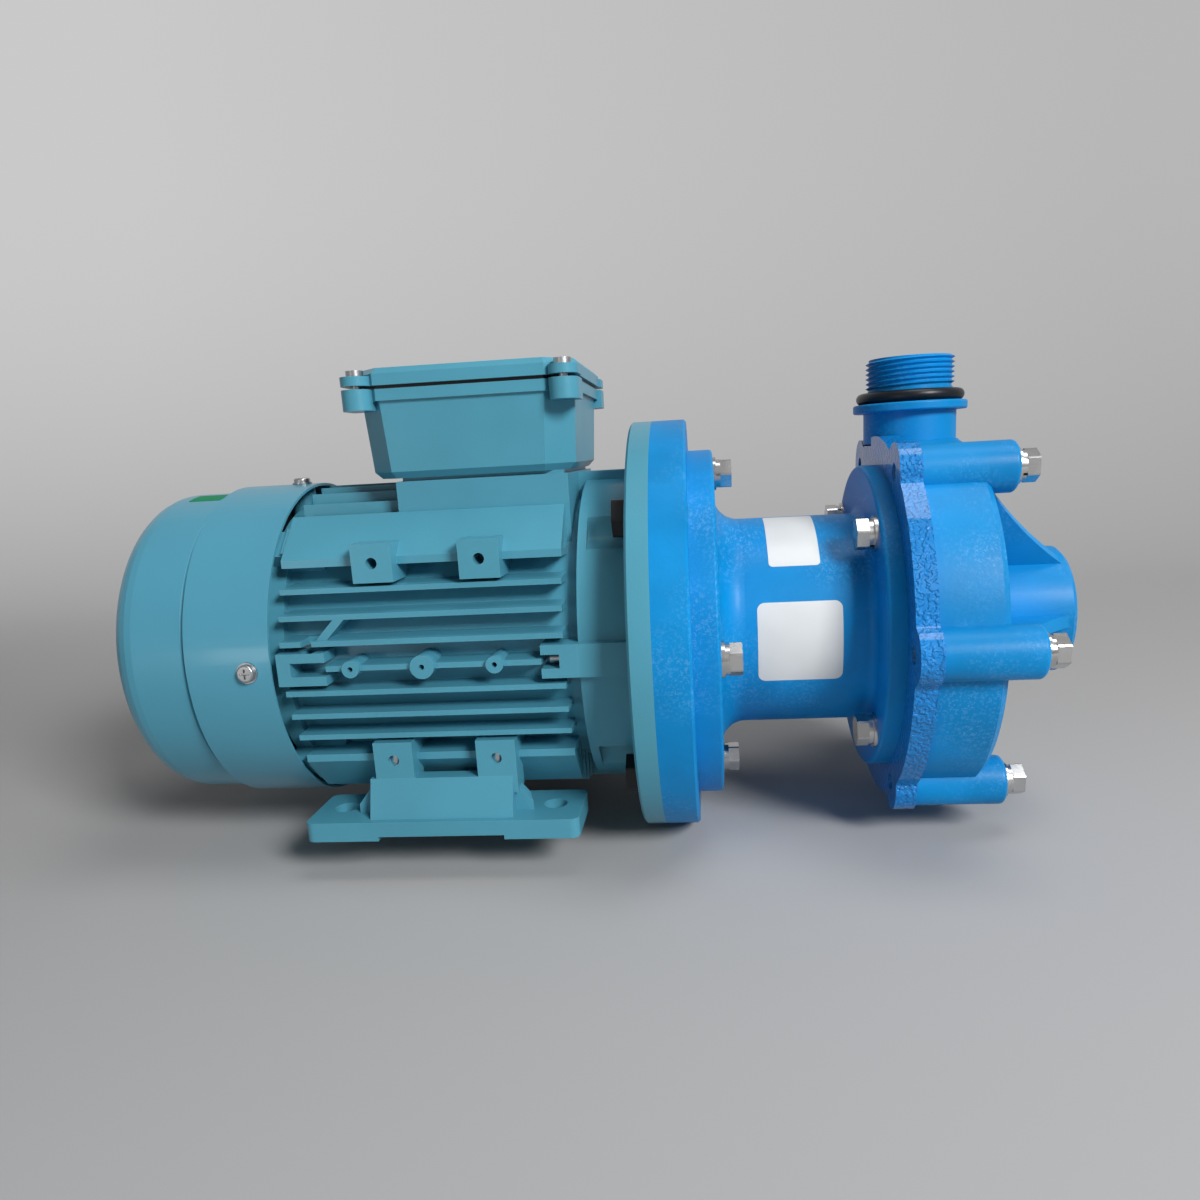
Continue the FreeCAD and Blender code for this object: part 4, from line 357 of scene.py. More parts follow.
@dataclass(frozen=True)
class Finish:
    """One surface finish and the node tree that makes it."""

    name: str
    colour: Colour
    roughness: float = 0.5
    metallic: float = 0.0
    coat: float = 0.0
    coat_roughness: float = 0.08
    shade_spread: float = 0.10
    shade_scale: float = MOTTLE_SCALE
    skin_scale: float = SKIN_SCALE
    skin_depth: float = 0.0
    skin_strength: float = 0.35
    rough_spread: float = 0.06
    shine: float = 0.5

    def build(self, groups: EffectGroups) -> bpy.types.Material:
        """Make the material.

        Args:
            groups: the shared node groups.

        Returns:
            The finished material.
        """
        material = bpy.data.materials.new(self.name)
        material.use_nodes = True
        material.node_tree.nodes.clear()
        wiring = Wiring(material.node_tree)
        shader = wiring.add("ShaderNodeBsdfPrincipled")
        output = wiring.add("ShaderNodeOutputMaterial")
        wiring.join(shader.outputs["BSDF"], output.inputs["Surface"])
        shader.inputs["Metallic"].default_value = self.metallic
        shader.inputs["Specular IOR Level"].default_value = self.shine
        shader.inputs["Coat Weight"].default_value = self.coat
        shader.inputs["Coat Roughness"].default_value = self.coat_roughness
        self.dress(wiring, shader, groups)
        return material

    def dress(self, wiring: Wiring, shader: bpy.types.Node, groups: EffectGroups) -> None:
        """Wire the colour, roughness and normal.

        Args:
            wiring: the material's wiring.
            shader: the Principled node.
            groups: the shared node groups.
        """
        place = wiring.object_vector()
        shade = self.group(wiring, groups.mottle, place, Scale=self.shade_scale).outputs["Shade"]
        wiring.join(self.tint(wiring, shade, self.colour), shader.inputs["Base Color"])
        low, high = self.roughness - self.rough_spread, self.roughness + self.rough_spread
        wiring.join(wiring.span(shade, 0.0, 1.0, low, high), shader.inputs["Roughness"])
        if self.skin_depth > 0:
            wiring.join(self.skin(wiring, groups, place), shader.inputs["Normal"])

    def skin(self, wiring: Wiring, groups: EffectGroups, place: bpy.types.NodeSocket) -> bpy.types.NodeSocket:
        """The waves of the skin.

        Args:
            wiring: the material's wiring.
            groups: the shared node groups.
            place: the vector that the pattern reads.

        Returns:
            The normal's socket.
        """
        sizes = {"Scale": self.skin_scale, "Depth": self.skin_depth, "Strength": self.skin_strength}
        return self.group(wiring, groups.skin, place, **sizes).outputs["Normal"]

    def tint(self, wiring: Wiring, shade: bpy.types.NodeSocket, colour: Colour) -> bpy.types.NodeSocket:
        """The colour, a little darker and lighter over the surface.

        Args:
            wiring: the material's wiring.
            shade: the mottle from 0 to 1.
            colour: the middle colour.

        Returns:
            The colour's socket.
        """
        mix = wiring.add("ShaderNodeMix", data_type="RGBA")
        dark = tuple(part * (1 - self.shade_spread) for part in colour)
        light = tuple(min(1.0, part * (1 + self.shade_spread)) for part in colour)
        mix.inputs["A"].default_value = (*dark, 1.0)
        mix.inputs["B"].default_value = (*light, 1.0)
        wiring.join(shade, mix.inputs["Factor"])
        return mix.outputs["Result"]

    @staticmethod
    def group(
        wiring: Wiring, tree: bpy.types.NodeTree, place: bpy.types.NodeSocket, **values: float
    ) -> bpy.types.Node:
        """Place a shared group with its own values.

        Args:
            wiring: the material's wiring.
            tree: the group's tree.
            place: the vector that the group reads.
            values: number inputs by name.

        Returns:
            The group node.
        """
        node = wiring.add("ShaderNodeGroup", node_tree=tree)
        wiring.join(place, node.inputs["Vector"])
        for name, value in values.items():
            node.inputs[name].default_value = value
        return node


@dataclass(frozen=True)
class GlossPaint(Finish):
    """Glossy enamel whose edges and corners are painted a lighter teal as a painted highlight."""

    # Lighter teal of the painted edge highlight, and how far it is mixed in.
    edge_highlight_colour: Colour = (0.12, 0.36, 0.43)
    edge_radius: float = 0.5 * MM
    edge_highlight_share: float = 0.55

    def dress(self, wiring: Wiring, shader: bpy.types.Node, groups: EffectGroups) -> None:
        """Wire the enamel and its painted edge highlight.

        Args:
            wiring: the material's wiring.
            shader: the Principled node.
            groups: the shared node groups.
        """
        super().dress(wiring, shader, groups)
        place = wiring.object_vector()
        base = shader.inputs["Base Color"].links[0].from_socket
        edge = self.group(wiring, groups.edge_highlight_mask, place, Radius=self.edge_radius)
        # Painted highlight: edges and corners are mixed towards a lighter teal.
        mix = wiring.add("ShaderNodeMix", data_type="RGBA")
        mix.inputs["B"].default_value = (*self.edge_highlight_colour, 1.0)
        wiring.join(base, mix.inputs["A"])
        wiring.join(wiring.span(edge.outputs["Edge"], 0.0, 1.0, 0.0, self.edge_highlight_share), mix.inputs["Factor"])
        wiring.join(mix.outputs["Result"], shader.inputs["Base Color"])


@dataclass(frozen=True)
class FibrePlastic(Finish):
    """Moulded plastic in which pale fibres show through the skin; their pale colour is partly the fibres' own and
    partly a painted sheen.
    """

    fibre_and_sheen_colour: Colour = (0.16, 0.42, 0.75)
    fibre_and_sheen_share: float = 0.42
    fibre_scale: float = 640.0
    patch_scale: float = 28.0
    patch_start: float = 0.35

    def dress(self, wiring: Wiring, shader: bpy.types.Node, groups: EffectGroups) -> None:
        """Wire the plastic and its fibres, painted pale for their own colour and for a painted sheen.

        Args:
            wiring: the material's wiring.
            shader: the Principled node.
            groups: the shared node groups.
        """
        super().dress(wiring, shader, groups)
        place = wiring.object_vector()
        base = shader.inputs["Base Color"].links[0].from_socket
        fibres = self.group(wiring, groups.fibre, place, Scale=self.fibre_scale).outputs["Fibres"]
        patches = self.group(wiring, groups.mottle, place, Scale=self.patch_scale).outputs["Shade"]
        share = wiring.add("ShaderNodeMath", operation="MULTIPLY")
        wiring.join(fibres, share.inputs[0])
        wiring.join(wiring.span(patches, self.patch_start, 1.0, 0.0, self.fibre_and_sheen_share), share.inputs[1])
        # Pale fibres in patches: partly the fibres' own colour, partly a painted sheen where they would glint.
        mix = wiring.add("ShaderNodeMix", data_type="RGBA")
        mix.inputs["B"].default_value = (*self.fibre_and_sheen_colour, 1.0)
        wiring.join(base, mix.inputs["A"])
        wiring.join(share.outputs["Value"], mix.inputs["Factor"])
        wiring.join(mix.outputs["Result"], shader.inputs["Base Color"])


@dataclass(frozen=True)
class LumpyPaint(Finish):
    """Thick glossy paint that has run over a coarse casting."""

    lump_scale: float = 560.0
    lump_depth: float = 0.6 * MM
    lump_strength: float = 0.90
    lump_span: tuple[float, float] = (0.40, 0.60)

    def dress(self, wiring: Wiring, shader: bpy.types.Node, groups: EffectGroups) -> None:
        """Wire the lumps.

        Args:
            wiring: the material's wiring.
            shader: the Principled node.
            groups: the shared node groups.
        """
        super().dress(wiring, shader, groups)
        place = wiring.object_vector()
        lumps = wiring.noise(place, self.lump_scale, 1.5, 0.4)
        height = wiring.span(lumps.outputs["Fac"], *self.lump_span, 0.0, 1.0)
        bump = wiring.add("ShaderNodeBump")
        bump.inputs["Distance"].default_value = self.lump_depth
        bump.inputs["Strength"].default_value = self.lump_strength
        wiring.join(height, bump.inputs["Height"])
        wiring.join(bump.outputs["Normal"], shader.inputs["Normal"])


@dataclass(frozen=True)
class LinedMetal(Finish):
    """Metal with fine lines left by turning, drawing or rolling."""

    lines: Axis = Axis.ALONG_SHAFT
    line_scale: float = 9000.0
    line_depth: float = 0.03 * MM
    line_strength: float = 0.25

    def dress(self, wiring: Wiring, shader: bpy.types.Node, groups: EffectGroups) -> None:
        """Wire the metal and its lines.

        Args:
            wiring: the material's wiring.
            shader: the Principled node.
            groups: the shared node groups.
        """
        super().dress(wiring, shader, groups)
        place = wiring.object_vector(self.lines)
        lines = wiring.noise(place, self.line_scale, 1.0)
        bump = wiring.add("ShaderNodeBump")
        bump.inputs["Distance"].default_value = self.line_depth
        bump.inputs["Strength"].default_value = self.line_strength
        wiring.join(lines.outputs["Fac"], bump.inputs["Height"])
        wiring.join(bump.outputs["Normal"], shader.inputs["Normal"])


TEAL = GlossPaint(
    "teal_enamel",
    (0.072, 0.295, 0.402),
    roughness=0.36,
    coat=0.14,
    coat_roughness=0.14,
    shine=0.26,
    shade_spread=0.07,
    shade_scale=16.0,
    skin_scale=900.0,
    skin_depth=0.25 * MM,
    skin_strength=0.16,
)
TEAL_SHEET = GlossPaint(
    "teal_enamel_sheet",
    (0.076, 0.306, 0.426),
    roughness=0.34,
    coat=0.22,
    coat_roughness=0.12,
    shine=0.26,
    shade_spread=0.06,
    shade_scale=9.0,
    skin_scale=240.0,
    skin_depth=0.25 * MM,
    skin_strength=0.08,
    edge_radius=0.4 * MM,
)
BLUE_PLASTIC = FibrePlastic(
    "blue_fibre_plastic",
    (0.0, 0.225, 0.550),
    roughness=0.46,
    coat=0.04,
    coat_roughness=0.20,
    shine=0.20,
    shade_spread=0.16,
    shade_scale=24.0,
    skin_scale=520.0,
    skin_depth=0.30 * MM,
    skin_strength=0.18,
)
BLUE_CAST = LumpyPaint(
    "blue_painted_casting",
    (0.0, 0.195, 0.560),
    roughness=0.34,
    coat=0.60,
    coat_roughness=0.05,
    shine=0.25,
    shade_spread=0.10,
    shade_scale=60.0,
)

FINISHES: dict[str, Finish] = {
    "teal_cast": TEAL,
    "teal_sheet": TEAL_SHEET,
    "blue_plastic": BLUE_PLASTIC,
    "blue_cast": BLUE_CAST,
    "stainless": LinedMetal("stainless", (0.56, 0.56, 0.55), roughness=0.24, metallic=1.0, line_scale=3000.0),
    "zinc_steel": LinedMetal("zinc_steel", (0.50, 0.51, 0.52), roughness=0.34, metallic=1.0, line_scale=3000.0),
    "black_rubber": Finish(
        "black_rubber", (0.003, 0.005, 0.009), roughness=0.36, skin_depth=0.1 * MM, skin_scale=900.0, shine=0.35
    ),
    # black_steel is used for the flange bolts: its near-black colour is painted shade, standing in for the dark recess
    # between end shield and flange.
    "black_steel": Finish("black_steel", (0.020, 0.021, 0.023), roughness=0.34, metallic=0.6),
    "core_steel": LinedMetal(
        "core_steel", (0.30, 0.30, 0.31), roughness=0.42, metallic=1.0, lines=Axis.UPRIGHT
    ),
    "copper": LinedMetal("copper", (0.72, 0.28, 0.13), roughness=0.34, metallic=1.0),
    "cage_aluminium": Finish("cage_aluminium", (0.62, 0.63, 0.64), roughness=0.42, metallic=1.0),
    "shaft_steel": LinedMetal(
        "shaft_steel", (0.52, 0.52, 0.52), roughness=0.26, metallic=1.0, lines=Axis.UPRIGHT
    ),
    "bearing_steel": Finish("bearing_steel", (0.60, 0.60, 0.60), roughness=0.14, metallic=1.0),
    "fan_plastic": Finish("fan_plastic", (0.020, 0.021, 0.023), roughness=0.48, skin_depth=0.2 * MM),
    "magnet": Finish("magnet", (0.34, 0.34, 0.35), roughness=0.30, metallic=1.0),
    "can_plastic": Finish("can_plastic", (0.030, 0.030, 0.032), roughness=0.42, skin_depth=0.2 * MM),
    "rotor_plastic": Finish("rotor_plastic", (0.55, 0.53, 0.46), roughness=0.45, skin_depth=0.2 * MM),
    "ceramic": Finish("ceramic", (0.80, 0.78, 0.70), roughness=0.22, shade_spread=0.03),
    "carbon": Finish("carbon", (0.022, 0.022, 0.024), roughness=0.36, skin_depth=0.1 * MM),
    "bakelite": Finish("bakelite", (0.018, 0.016, 0.014), roughness=0.34),
    "brass": LinedMetal("brass", (0.72, 0.52, 0.22), roughness=0.26, metallic=1.0, line_scale=3000.0),
}
WHITE_LABEL = Finish(
    "white_label", (0.66, 0.68, 0.68), roughness=0.40, coat=0.1, coat_roughness=0.2, shade_spread=0.03
)
GREEN_LABEL = Finish("green_label", (0.003, 0.24, 0.10), roughness=0.55, shade_spread=0.05, shine=0.1)
OVERPAINTED: dict[str, Finish] = {"box_gasket": TEAL}


class Dressing:
    """Gives every solid of the frame, and every added piece, its finish."""

    def __init__(self, groups: EffectGroups) -> None:
        """Prepare an empty stock of materials.

        Args:
            groups: the shared node groups.
        """
        self.groups = groups
        self.made: dict[str, bpy.types.Material] = {}

    def material(self, finish: Finish) -> bpy.types.Material:
        """The finish's material, made once.

        Args:
            finish: the finish.

        Returns:
            Its material.
        """
        if finish.name not in self.made:
            self.made[finish.name] = finish.build(self.groups)
        return self.made[finish.name]

    def paint(self, piece: bpy.types.Object, finish: Finish) -> None:
        """Give a piece one finish all over.

        Args:
            piece: the mesh object.
            finish: its finish.
        """
        piece.data.materials.clear()
        piece.data.materials.append(self.material(finish))

    def dress_frame(self) -> None:
        """Paint each solid by the material slot that the record gives it."""
        slots = {part["node"]: part["material_slot"] for part in frame["record"]["subparts"]}
        for name, node in frame["nodes"].items():
            self.paint(node, OVERPAINTED.get(name, FINISHES[slots[name]]))
        LOG.info("dressed %d solids from %d slots", len(slots), len(set(slots.values())))


class Shop:
    """Modelling steps that the pieces share."""

    @staticmethod
    def clear() -> None:
        """Deselect everything, so that a step changes only the new piece."""
        if bpy.context.object and bpy.context.object.mode != "OBJECT":
            bpy.ops.object.mode_set(mode="OBJECT")
        bpy.ops.object.select_all(action="DESELECT")

    @staticmethod
    def apply_modifiers(piece: bpy.types.Object) -> None:
        """Apply the piece's modifiers in order."""
        bpy.context.view_layer.objects.active = piece
        for modifier in list(piece.modifiers):
            bpy.ops.object.modifier_apply(modifier=modifier.name)

    @staticmethod
    def settle(piece: bpy.types.Object) -> None:
        """Put the piece's place into its mesh, so that its object sits at the origin."""
        Shop.clear()
        piece.select_set(True)
        bpy.context.view_layer.objects.active = piece
        bpy.ops.object.transform_apply(location=True, rotation=True, scale=True)

    @staticmethod
    def tidy_normals(merge: float = 1e-6) -> None:
        """Merge close points of the active mesh, in edit mode, and turn every face outwards."""
        bpy.ops.mesh.select_all(action="SELECT")
        bpy.ops.mesh.remove_doubles(threshold=merge)
        bpy.ops.mesh.normals_make_consistent(inside=False)


@dataclass(frozen=True)
class PipeThread:
    """Outside pipe thread on the discharge spigot."""

    name: str = "discharge_thread"
    pitch: float = 2.309 * MM
    root_r: float = 19.476 * MM
    crest_r: float = 20.955 * MM
    low_z: float = 188.9 * MM
    turns: float = 6.3
    steps_per_turn: int = 64
    sunk: float = 0.35 * MM
    flank: float = 0.92

    def build(self, dressing: Dressing, centre: Vector) -> bpy.types.Object:
        """Make the ridge as a three-sided profile wound round the spigot.

        Args:
            dressing: the stock of finishes.
            centre: a point on the spigot's axis.

        Returns:
            The thread.
        """
        Shop.clear()
        inner = self.root_r - self.sunk
        tall = self.crest_r - inner
        profile_r = tall * 2 / 3
        bpy.ops.mesh.primitive_circle_add(vertices=3, radius=profile_r, fill_type="NOTHING")
        thread = bpy.context.object
        thread.name = self.name
        bpy.ops.object.mode_set(mode="EDIT")
        bpy.ops.mesh.select_all(action="SELECT")
        half = math.pi / 2
        origin = (0.0, 0.0, 0.0)
        bpy.ops.transform.rotate(value=half, orient_axis="Z", center_override=origin)
        bpy.ops.transform.rotate(value=half, orient_axis="X", center_override=origin)
        side = profile_r * math.sqrt(3)
        bpy.ops.transform.resize(value=(1.0, 1.0, self.pitch * self.flank / side), center_override=origin)
        bpy.ops.object.mode_set(mode="OBJECT")
        points = [corner.co for corner in thread.data.vertices]
        outward = max(points, key=lambda co: abs(co.x)).x > 0
        reach = (self.crest_r - profile_r) * (1 if outward else -1)
        bpy.ops.object.mode_set(mode="EDIT")
        bpy.ops.mesh.select_all(action="SELECT")
        bpy.ops.transform.translate(value=(reach, 0.0, 0.0))
        bpy.ops.object.mode_set(mode="OBJECT")
        winding = thread.modifiers.new("winding", "SCREW")
        winding.axis = "Z"
        winding.angle = self.turns * math.tau
        winding.screw_offset = self.turns * self.pitch
        winding.steps = winding.render_steps = round(self.turns * self.steps_per_turn)
        winding.use_merge_vertices = False
        Shop.apply_modifiers(thread)
        bpy.ops.object.mode_set(mode="EDIT")
        bpy.ops.mesh.select_all(action="DESELECT")
        bpy.ops.mesh.select_mode(type="EDGE")
        bpy.ops.mesh.select_non_manifold(extend=False, use_boundary=True)
        bpy.ops.mesh.fill()
        Shop.tidy_normals()
        bpy.ops.object.mode_set(mode="OBJECT")
        thread.location = (centre.x, centre.y, self.low_z)
        Shop.settle(thread)
        bpy.ops.object.shade_smooth_by_angle(angle=SMOOTH_ANGLE)
        dressing.paint(thread, BLUE_PLASTIC)
        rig.slot(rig.ride(thread, HOUSING), "blue_plastic")
        return thread


@dataclass(frozen=True)
class BareLabel:
    """A printed label's place, left bare, wrapped on a round surface about the shaft."""

    name: str
    finish: Finish
    slot: str
    surface_r: float
    start_x: float
    end_x: float
    low_angle: float
    high_angle: float
    corner: float = 3.0 * MM
    thick: float = 0.12 * MM
    lift: float = 0.05 * MM
    strips: int = 24

    def build(self, dressing: Dressing) -> bpy.types.Object:
        """Cut a rounded sheet, bend it and turn it into place.

        Args:
            dressing: the stock of finishes.

        Returns:
            The label.
        """
        Shop.clear()
        radius = self.surface_r + self.lift
        swing = math.radians(self.high_angle - self.low_angle)
        around = radius * swing
        along = self.end_x - self.start_x
        bpy.ops.mesh.primitive_plane_add(size=1.0)
        label = bpy.context.object
        label.name = self.name
        label.scale = (around, along, 1.0)
        Shop.settle(label)
        bpy.ops.object.mode_set(mode="EDIT")
        bpy.ops.mesh.select_all(action="SELECT")
        bpy.ops.mesh.bevel(offset=self.corner, segments=8, affect="VERTICES")
        for cut in range(1, self.strips):
            bpy.ops.mesh.select_all(action="SELECT")
            place = -around / 2 + around * cut / self.strips
            bpy.ops.mesh.bisect(plane_co=(place, 0.0, 0.0), plane_no=(1.0, 0.0, 0.0))
        bpy.ops.object.mode_set(mode="OBJECT")
        label.rotation_euler = (math.pi / 2, 0.0, 0.0)
        Shop.settle(label)
        curl = label.modifiers.new("curl", "SIMPLE_DEFORM")
        curl.deform_method = "BEND"
        curl.deform_axis = "Z"
        curl.angle = swing
        body = label.modifiers.new("body", "SOLIDIFY")
        body.thickness = self.thick
        body.offset = 0.0
        Shop.apply_modifiers(label)
        return self.place(label, dressing, radius)

    def place(self, label: bpy.types.Object, dressing: Dressing, radius: float) -> bpy.types.Object:
        """Turn the bent sheet from the upright axis onto the shaft and finish it.

        Args:
            label: the bent sheet, curled about an upright line.
            dressing: the stock of finishes.
            radius: the radius that it was bent to.

        Returns:
            The label.
        """
        middle = math.radians((self.low_angle + self.high_angle) / 2)
        heights = [corner.co.y for corner in label.data.vertices]
        bowed_back = abs(min(heights)) > abs(max(heights))
        axis_y = -radius if bowed_back else radius
        to_axis = Matrix.Translation((0.0, -axis_y, 0.0))
        face_camera = Matrix.Rotation(math.pi if bowed_back else 0.0, 4, "Z")
        lay_down = Matrix.Rotation(math.pi / 2, 4, "Y")
        swing_up = Matrix.Rotation(-middle, 4, "X")
        centre = Matrix.Translation(((self.start_x + self.end_x) / 2, 0.0, SHAFT_Z))
        label.matrix_world = centre @ swing_up @ lay_down @ face_camera @ to_axis
        Shop.settle(label)
        bpy.ops.object.mode_set(mode="EDIT")
        Shop.tidy_normals()
        bpy.ops.object.mode_set(mode="OBJECT")
        bpy.ops.object.shade_smooth_by_angle(angle=SMOOTH_ANGLE)
        dressing.paint(label, self.finish)
        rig.slot(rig.ride(label, HOUSING), self.slot)
        return label


@dataclass(frozen=True)
class SoftLamp:
    """One soft lamp that looks at a point of the pump."""

    name: str
    place: Colour
    size: float
    power: float
    colour: Colour = (1.0, 1.0, 1.0)
    target: Colour = (0.06, 0.0, 0.08)

    def build(self) -> bpy.types.Object:
        """Make the lamp.

        Returns:
            The lamp.
        """
        Shop.clear()
        bpy.ops.object.light_add(type="AREA", location=self.place)
        lamp = bpy.context.object
        lamp.name = self.name
        lamp.data.size = self.size
        lamp.data.energy = self.power
        lamp.data.color = self.colour
        aim = Vector(self.target) - Vector(self.place)
        lamp.rotation_euler = aim.to_track_quat("-Z", "Y").to_euler()
        return lamp


@dataclass(frozen=True)
class Studio:
    """Pale sweep, even sky and soft lamps."""

    floor_z: float = -20 * MM
    half_wide: float = 4.0
    front_y: float = -2.5
    wall_y: float = 1.6
    wall_tall: float = 3.0
    bend: float = 0.9
    bend_steps: int = 24
    paper: Colour = (0.44, 0.44, 0.443)
    shown: Colour = (0.34, 0.34, 0.345)
    shown_left: Colour = (0.585, 0.585, 0.59)
    shown_right: Colour = (0.475, 0.475, 0.478)
    shown_span_x: tuple[float, float] = (-1.1, 1.0)
    shadow_y: float = 0.15
    paper_roughness: float = 0.9
    sky: float = 0.15
    lamps: tuple[SoftLamp, ...] = (
        SoftLamp("key", (1.12, -1.27, 1.00), 0.50, 34.0),
        SoftLamp("fill", (-0.60, -1.15, 0.06), 0.22, 1.0),
        SoftLamp("top", (0.45, -0.15, 1.35), 0.6, 5.0),
    )

    def build(self) -> None:
        """Make the sweep, the sky and the lamps."""
        self._sweep()
        self._sky()
        for lamp in self.lamps:
            lamp.build()

    def _sweep(self) -> None:
        """Floor and wall in one bent sheet."""
        Shop.clear()
        bpy.ops.mesh.primitive_plane_add(size=1.0)
        sweep = bpy.context.object
        sweep.name = "studio_sweep"
        depth = self.wall_y - self.front_y
        sweep.scale = (2 * self.half_wide, depth, 1.0)
        sweep.location = (0.0, self.front_y + depth / 2, self.floor_z)
        Shop.settle(sweep)
        corners = sweep.data.vertices
        edges = sweep.data.edges
        back = [edge.index for edge in edges if all(corners[i].co.y > self.wall_y - MM for i in edge.vertices)]
        bpy.ops.object.mode_set(mode="EDIT")
        bpy.ops.mesh.select_mode(type="EDGE")
        bpy.ops.mesh.select_all(action="DESELECT")
        bpy.ops.object.mode_set(mode="OBJECT")
        for index in back:
            sweep.data.edges[index].select = True
        bpy.ops.object.mode_set(mode="EDIT")
        bpy.ops.mesh.extrude_region_move(TRANSFORM_OT_translate={"value": (0.0, 0.0, self.wall_tall)})
        bpy.ops.object.mode_set(mode="OBJECT")
        corner = sweep.modifiers.new("corner", "BEVEL")
        corner.width = self.bend
        corner.segments = self.bend_steps
        corner.limit_method = "ANGLE"
        Shop.apply_modifiers(sweep)
        bpy.ops.object.shade_smooth()
        sweep.data.materials.append(self._paper())
        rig.stage(sweep)

    def _paper(self) -> bpy.types.Material:
        """Pale paper that takes shadows on the floor near the pump and, farther back, glows lighter on the left than
        on the right, as a painted falloff of light.

        Returns:
            The material.
        """
        material = bpy.data.materials.new("studio_paper")
        material.use_nodes = True
        shader = material.node_tree.nodes["Principled BSDF"]
        output = material.node_tree.nodes["Material Output"]
        shader.inputs["Base Color"].default_value = (*self.paper, 1.0)
        shader.inputs["Roughness"].default_value = self.paper_roughness
        wiring = Wiring(material.node_tree)
        split = wiring.add("ShaderNodeSeparateXYZ")
        wiring.join(wiring.object_vector(), split.inputs["Vector"])
        # Painted light: the glow is lighter on the left and darker on the right, a painted falloff across the
        # backdrop.
        across = wiring.add("ShaderNodeMix", data_type="RGBA")
        across.inputs["A"].default_value = (*self.shown_left, 1.0)
        across.inputs["B"].default_value = (*self.shown_right, 1.0)
        wiring.join(wiring.span(split.outputs["X"], *self.shown_span_x, 0.0, 1.0), across.inputs["Factor"])
        glow = wiring.add("ShaderNodeEmission")
        wiring.join(across.outputs["Result"], glow.inputs["Color"])
        seen = self._seen(wiring)
        away = wiring.span(split.outputs["Y"], self.shadow_y, self.wall_y, 0.0, 1.0)
        share = wiring.add("ShaderNodeMath", operation="MULTIPLY")
        wiring.join(seen, share.inputs[0])
        wiring.join(away, share.inputs[1])
        mix = wiring.add("ShaderNodeMixShader")
        wiring.join(share.outputs["Value"], mix.inputs["Fac"])
        wiring.join(shader.outputs["BSDF"], mix.inputs[1])
        wiring.join(glow.outputs["Emission"], mix.inputs[2])
        wiring.join(mix.outputs["Shader"], output.inputs["Surface"])
        return material

    @staticmethod
    def _seen(wiring: Wiring) -> bpy.types.NodeSocket:
        """One where a surface is looked at, straight, in a mirror or through glass.

        Args:
            wiring: the tree's wiring.

        Returns:
            The value's socket.
        """
        path = wiring.add("ShaderNodeLightPath")
        total = path.outputs["Is Camera Ray"]
        for name in ("Is Glossy Ray", "Is Transmission Ray"):
            larger = wiring.add("ShaderNodeMath", operation="MAXIMUM")
            wiring.join(total, larger.inputs[0])
            wiring.join(path.outputs[name], larger.inputs[1])
            total = larger.outputs["Value"]
        return total

    def _sky(self) -> None:
        """Even light from all round."""
        world = bpy.data.worlds.new("studio_sky")
        bpy.context.scene.world = world
        world.use_nodes = True
        wiring = Wiring(world.node_tree)
        world.node_tree.nodes.clear()
        seen = self._seen(wiring)
        lighting = wiring.add("ShaderNodeBackground")
        lighting.inputs["Strength"].default_value = self.sky
        shown = wiring.add("ShaderNodeBackground")
        shown.inputs["Color"].default_value = (*self.shown, 1.0)
        mix = wiring.add("ShaderNodeMixShader")
        output = wiring.add("ShaderNodeOutputWorld")
        wiring.join(seen, mix.inputs["Fac"])
        wiring.join(lighting.outputs["Background"], mix.inputs[1])
        wiring.join(shown.outputs["Background"], mix.inputs[2])
        wiring.join(mix.outputs["Shader"], output.inputs["Surface"])


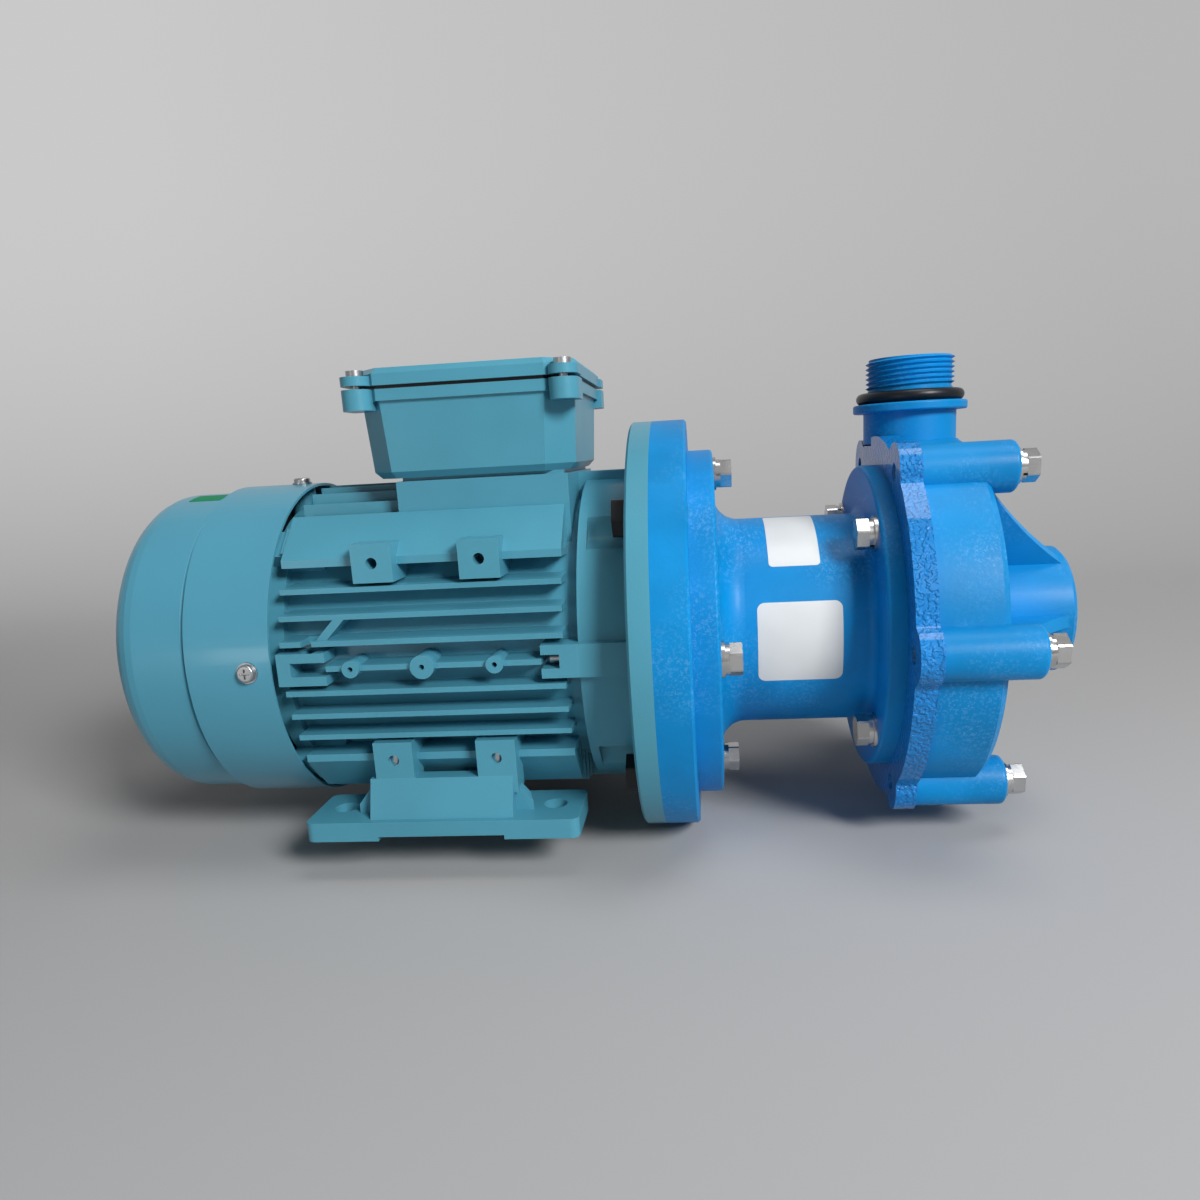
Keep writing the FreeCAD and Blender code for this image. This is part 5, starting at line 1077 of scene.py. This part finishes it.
@dataclass(frozen=True)
class PhotoCamera:
    """Camera at the photograph's place, turn and frame."""

    place: Colour = (121.4 * MM, -441.4 * MM, 166.1 * MM)
    yaw: float = -0.09251
    pitch: float = -0.20895
    roll: float = -0.05591
    focal_px: float = 881.1
    centre_px: tuple[float, float] = (624.84, 639.24)
    frame_px: float = 1200.0
    sensor_mm: float = 36.0
    near_clip: float = 20 * MM

    def build(self) -> bpy.types.Object:
        """Make the camera and set it as the scene's.

        Returns:
            The camera.
        """
        Shop.clear()
        bpy.ops.object.camera_add(location=self.place)
        camera = bpy.context.object
        camera.name = "photo_camera"
        camera.data.sensor_width = self.sensor_mm
        camera.data.lens = self.sensor_mm * self.focal_px / self.frame_px
        middle = self.frame_px / 2
        camera.data.shift_x = (middle - self.centre_px[0]) / self.frame_px
        camera.data.shift_y = (self.centre_px[1] - middle) / self.frame_px
        camera.data.clip_start = self.near_clip
        camera.matrix_world = Matrix.Translation(self.place) @ self._turn().to_4x4()
        bpy.context.scene.camera = camera
        return camera

    def _turn(self) -> Matrix:
        """The camera's turn from its yaw, pitch and roll.

        Returns:
            The 3 by 3 turn.
        """
        ahead = Vector((
            math.sin(self.yaw) * math.cos(self.pitch),
            math.cos(self.yaw) * math.cos(self.pitch),
            math.sin(self.pitch),
        ))
        level = Vector((math.cos(self.yaw), -math.sin(self.yaw), 0.0))
        upward = level.cross(ahead)
        right = math.cos(self.roll) * level + math.sin(self.roll) * upward
        up = math.cos(self.roll) * upward - math.sin(self.roll) * level
        return Matrix((right, up, -ahead)).transposed()


@dataclass
class Pump:
    """The whole pump: the frame's solids and the pieces added to them."""

    dressing: Dressing
    thread: PipeThread = PipeThread()
    labels: tuple[BareLabel, ...] = (
        BareLabel(
            "lantern_label", WHITE_LABEL, "blue_plastic",
            LANTERN_R, 145.2 * MM, 183.0 * MM, -23.0, 19.1, 3.5 * MM,
        ),
        BareLabel(
            "lantern_small_label", WHITE_LABEL, "blue_plastic",
            LANTERN_R, 151.5 * MM, 174.6 * MM, 38.5, 88.0, 2.0 * MM,
        ),
        BareLabel(
            "cover_label", GREEN_LABEL, "teal_sheet",
            COVER_R, -130.5 * MM, -114.0 * MM, 75.0, 84.0, 0.8 * MM,
        ),
    )

    def build(self) -> None:
        """Dress the solids and add the thread and the labels."""
        self.dressing.dress_frame()
        low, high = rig.box("discharge_o_ring")
        self.thread.build(self.dressing, (low + high) / 2)
        for label in self.labels:
            label.build(self.dressing)
        LOG.info("added the thread and %d labels", len(self.labels))


@dataclass
class SizeFile:
    """Keeps the object's bounds as loaded and as finished."""

    path: str = "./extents.json"
    spans: dict[str, list[list[float]]] = field(default_factory=dict)

    def note(self, moment: str) -> None:
        """Write the object's lowest and highest corner at this moment.

        Args:
            moment: the name under which they are kept.
        """
        self.spans[moment] = [list(corner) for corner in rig.bounds()]
        with open(self.path, "w", encoding="utf-8") as file:
            json.dump(self.spans, file)


def main() -> None:
    """Build the scene."""
    logging.basicConfig(level=logging.INFO, format="%(name)s: %(message)s")
    sizes = SizeFile()
    sizes.note("frame")
    bpy.context.scene.view_settings.view_transform = "Standard"
    Pump(Dressing(EffectGroups())).build()
    Studio().build()
    PhotoCamera().build()
    sizes.note("finished")


if __name__ == "__main__":
    main()
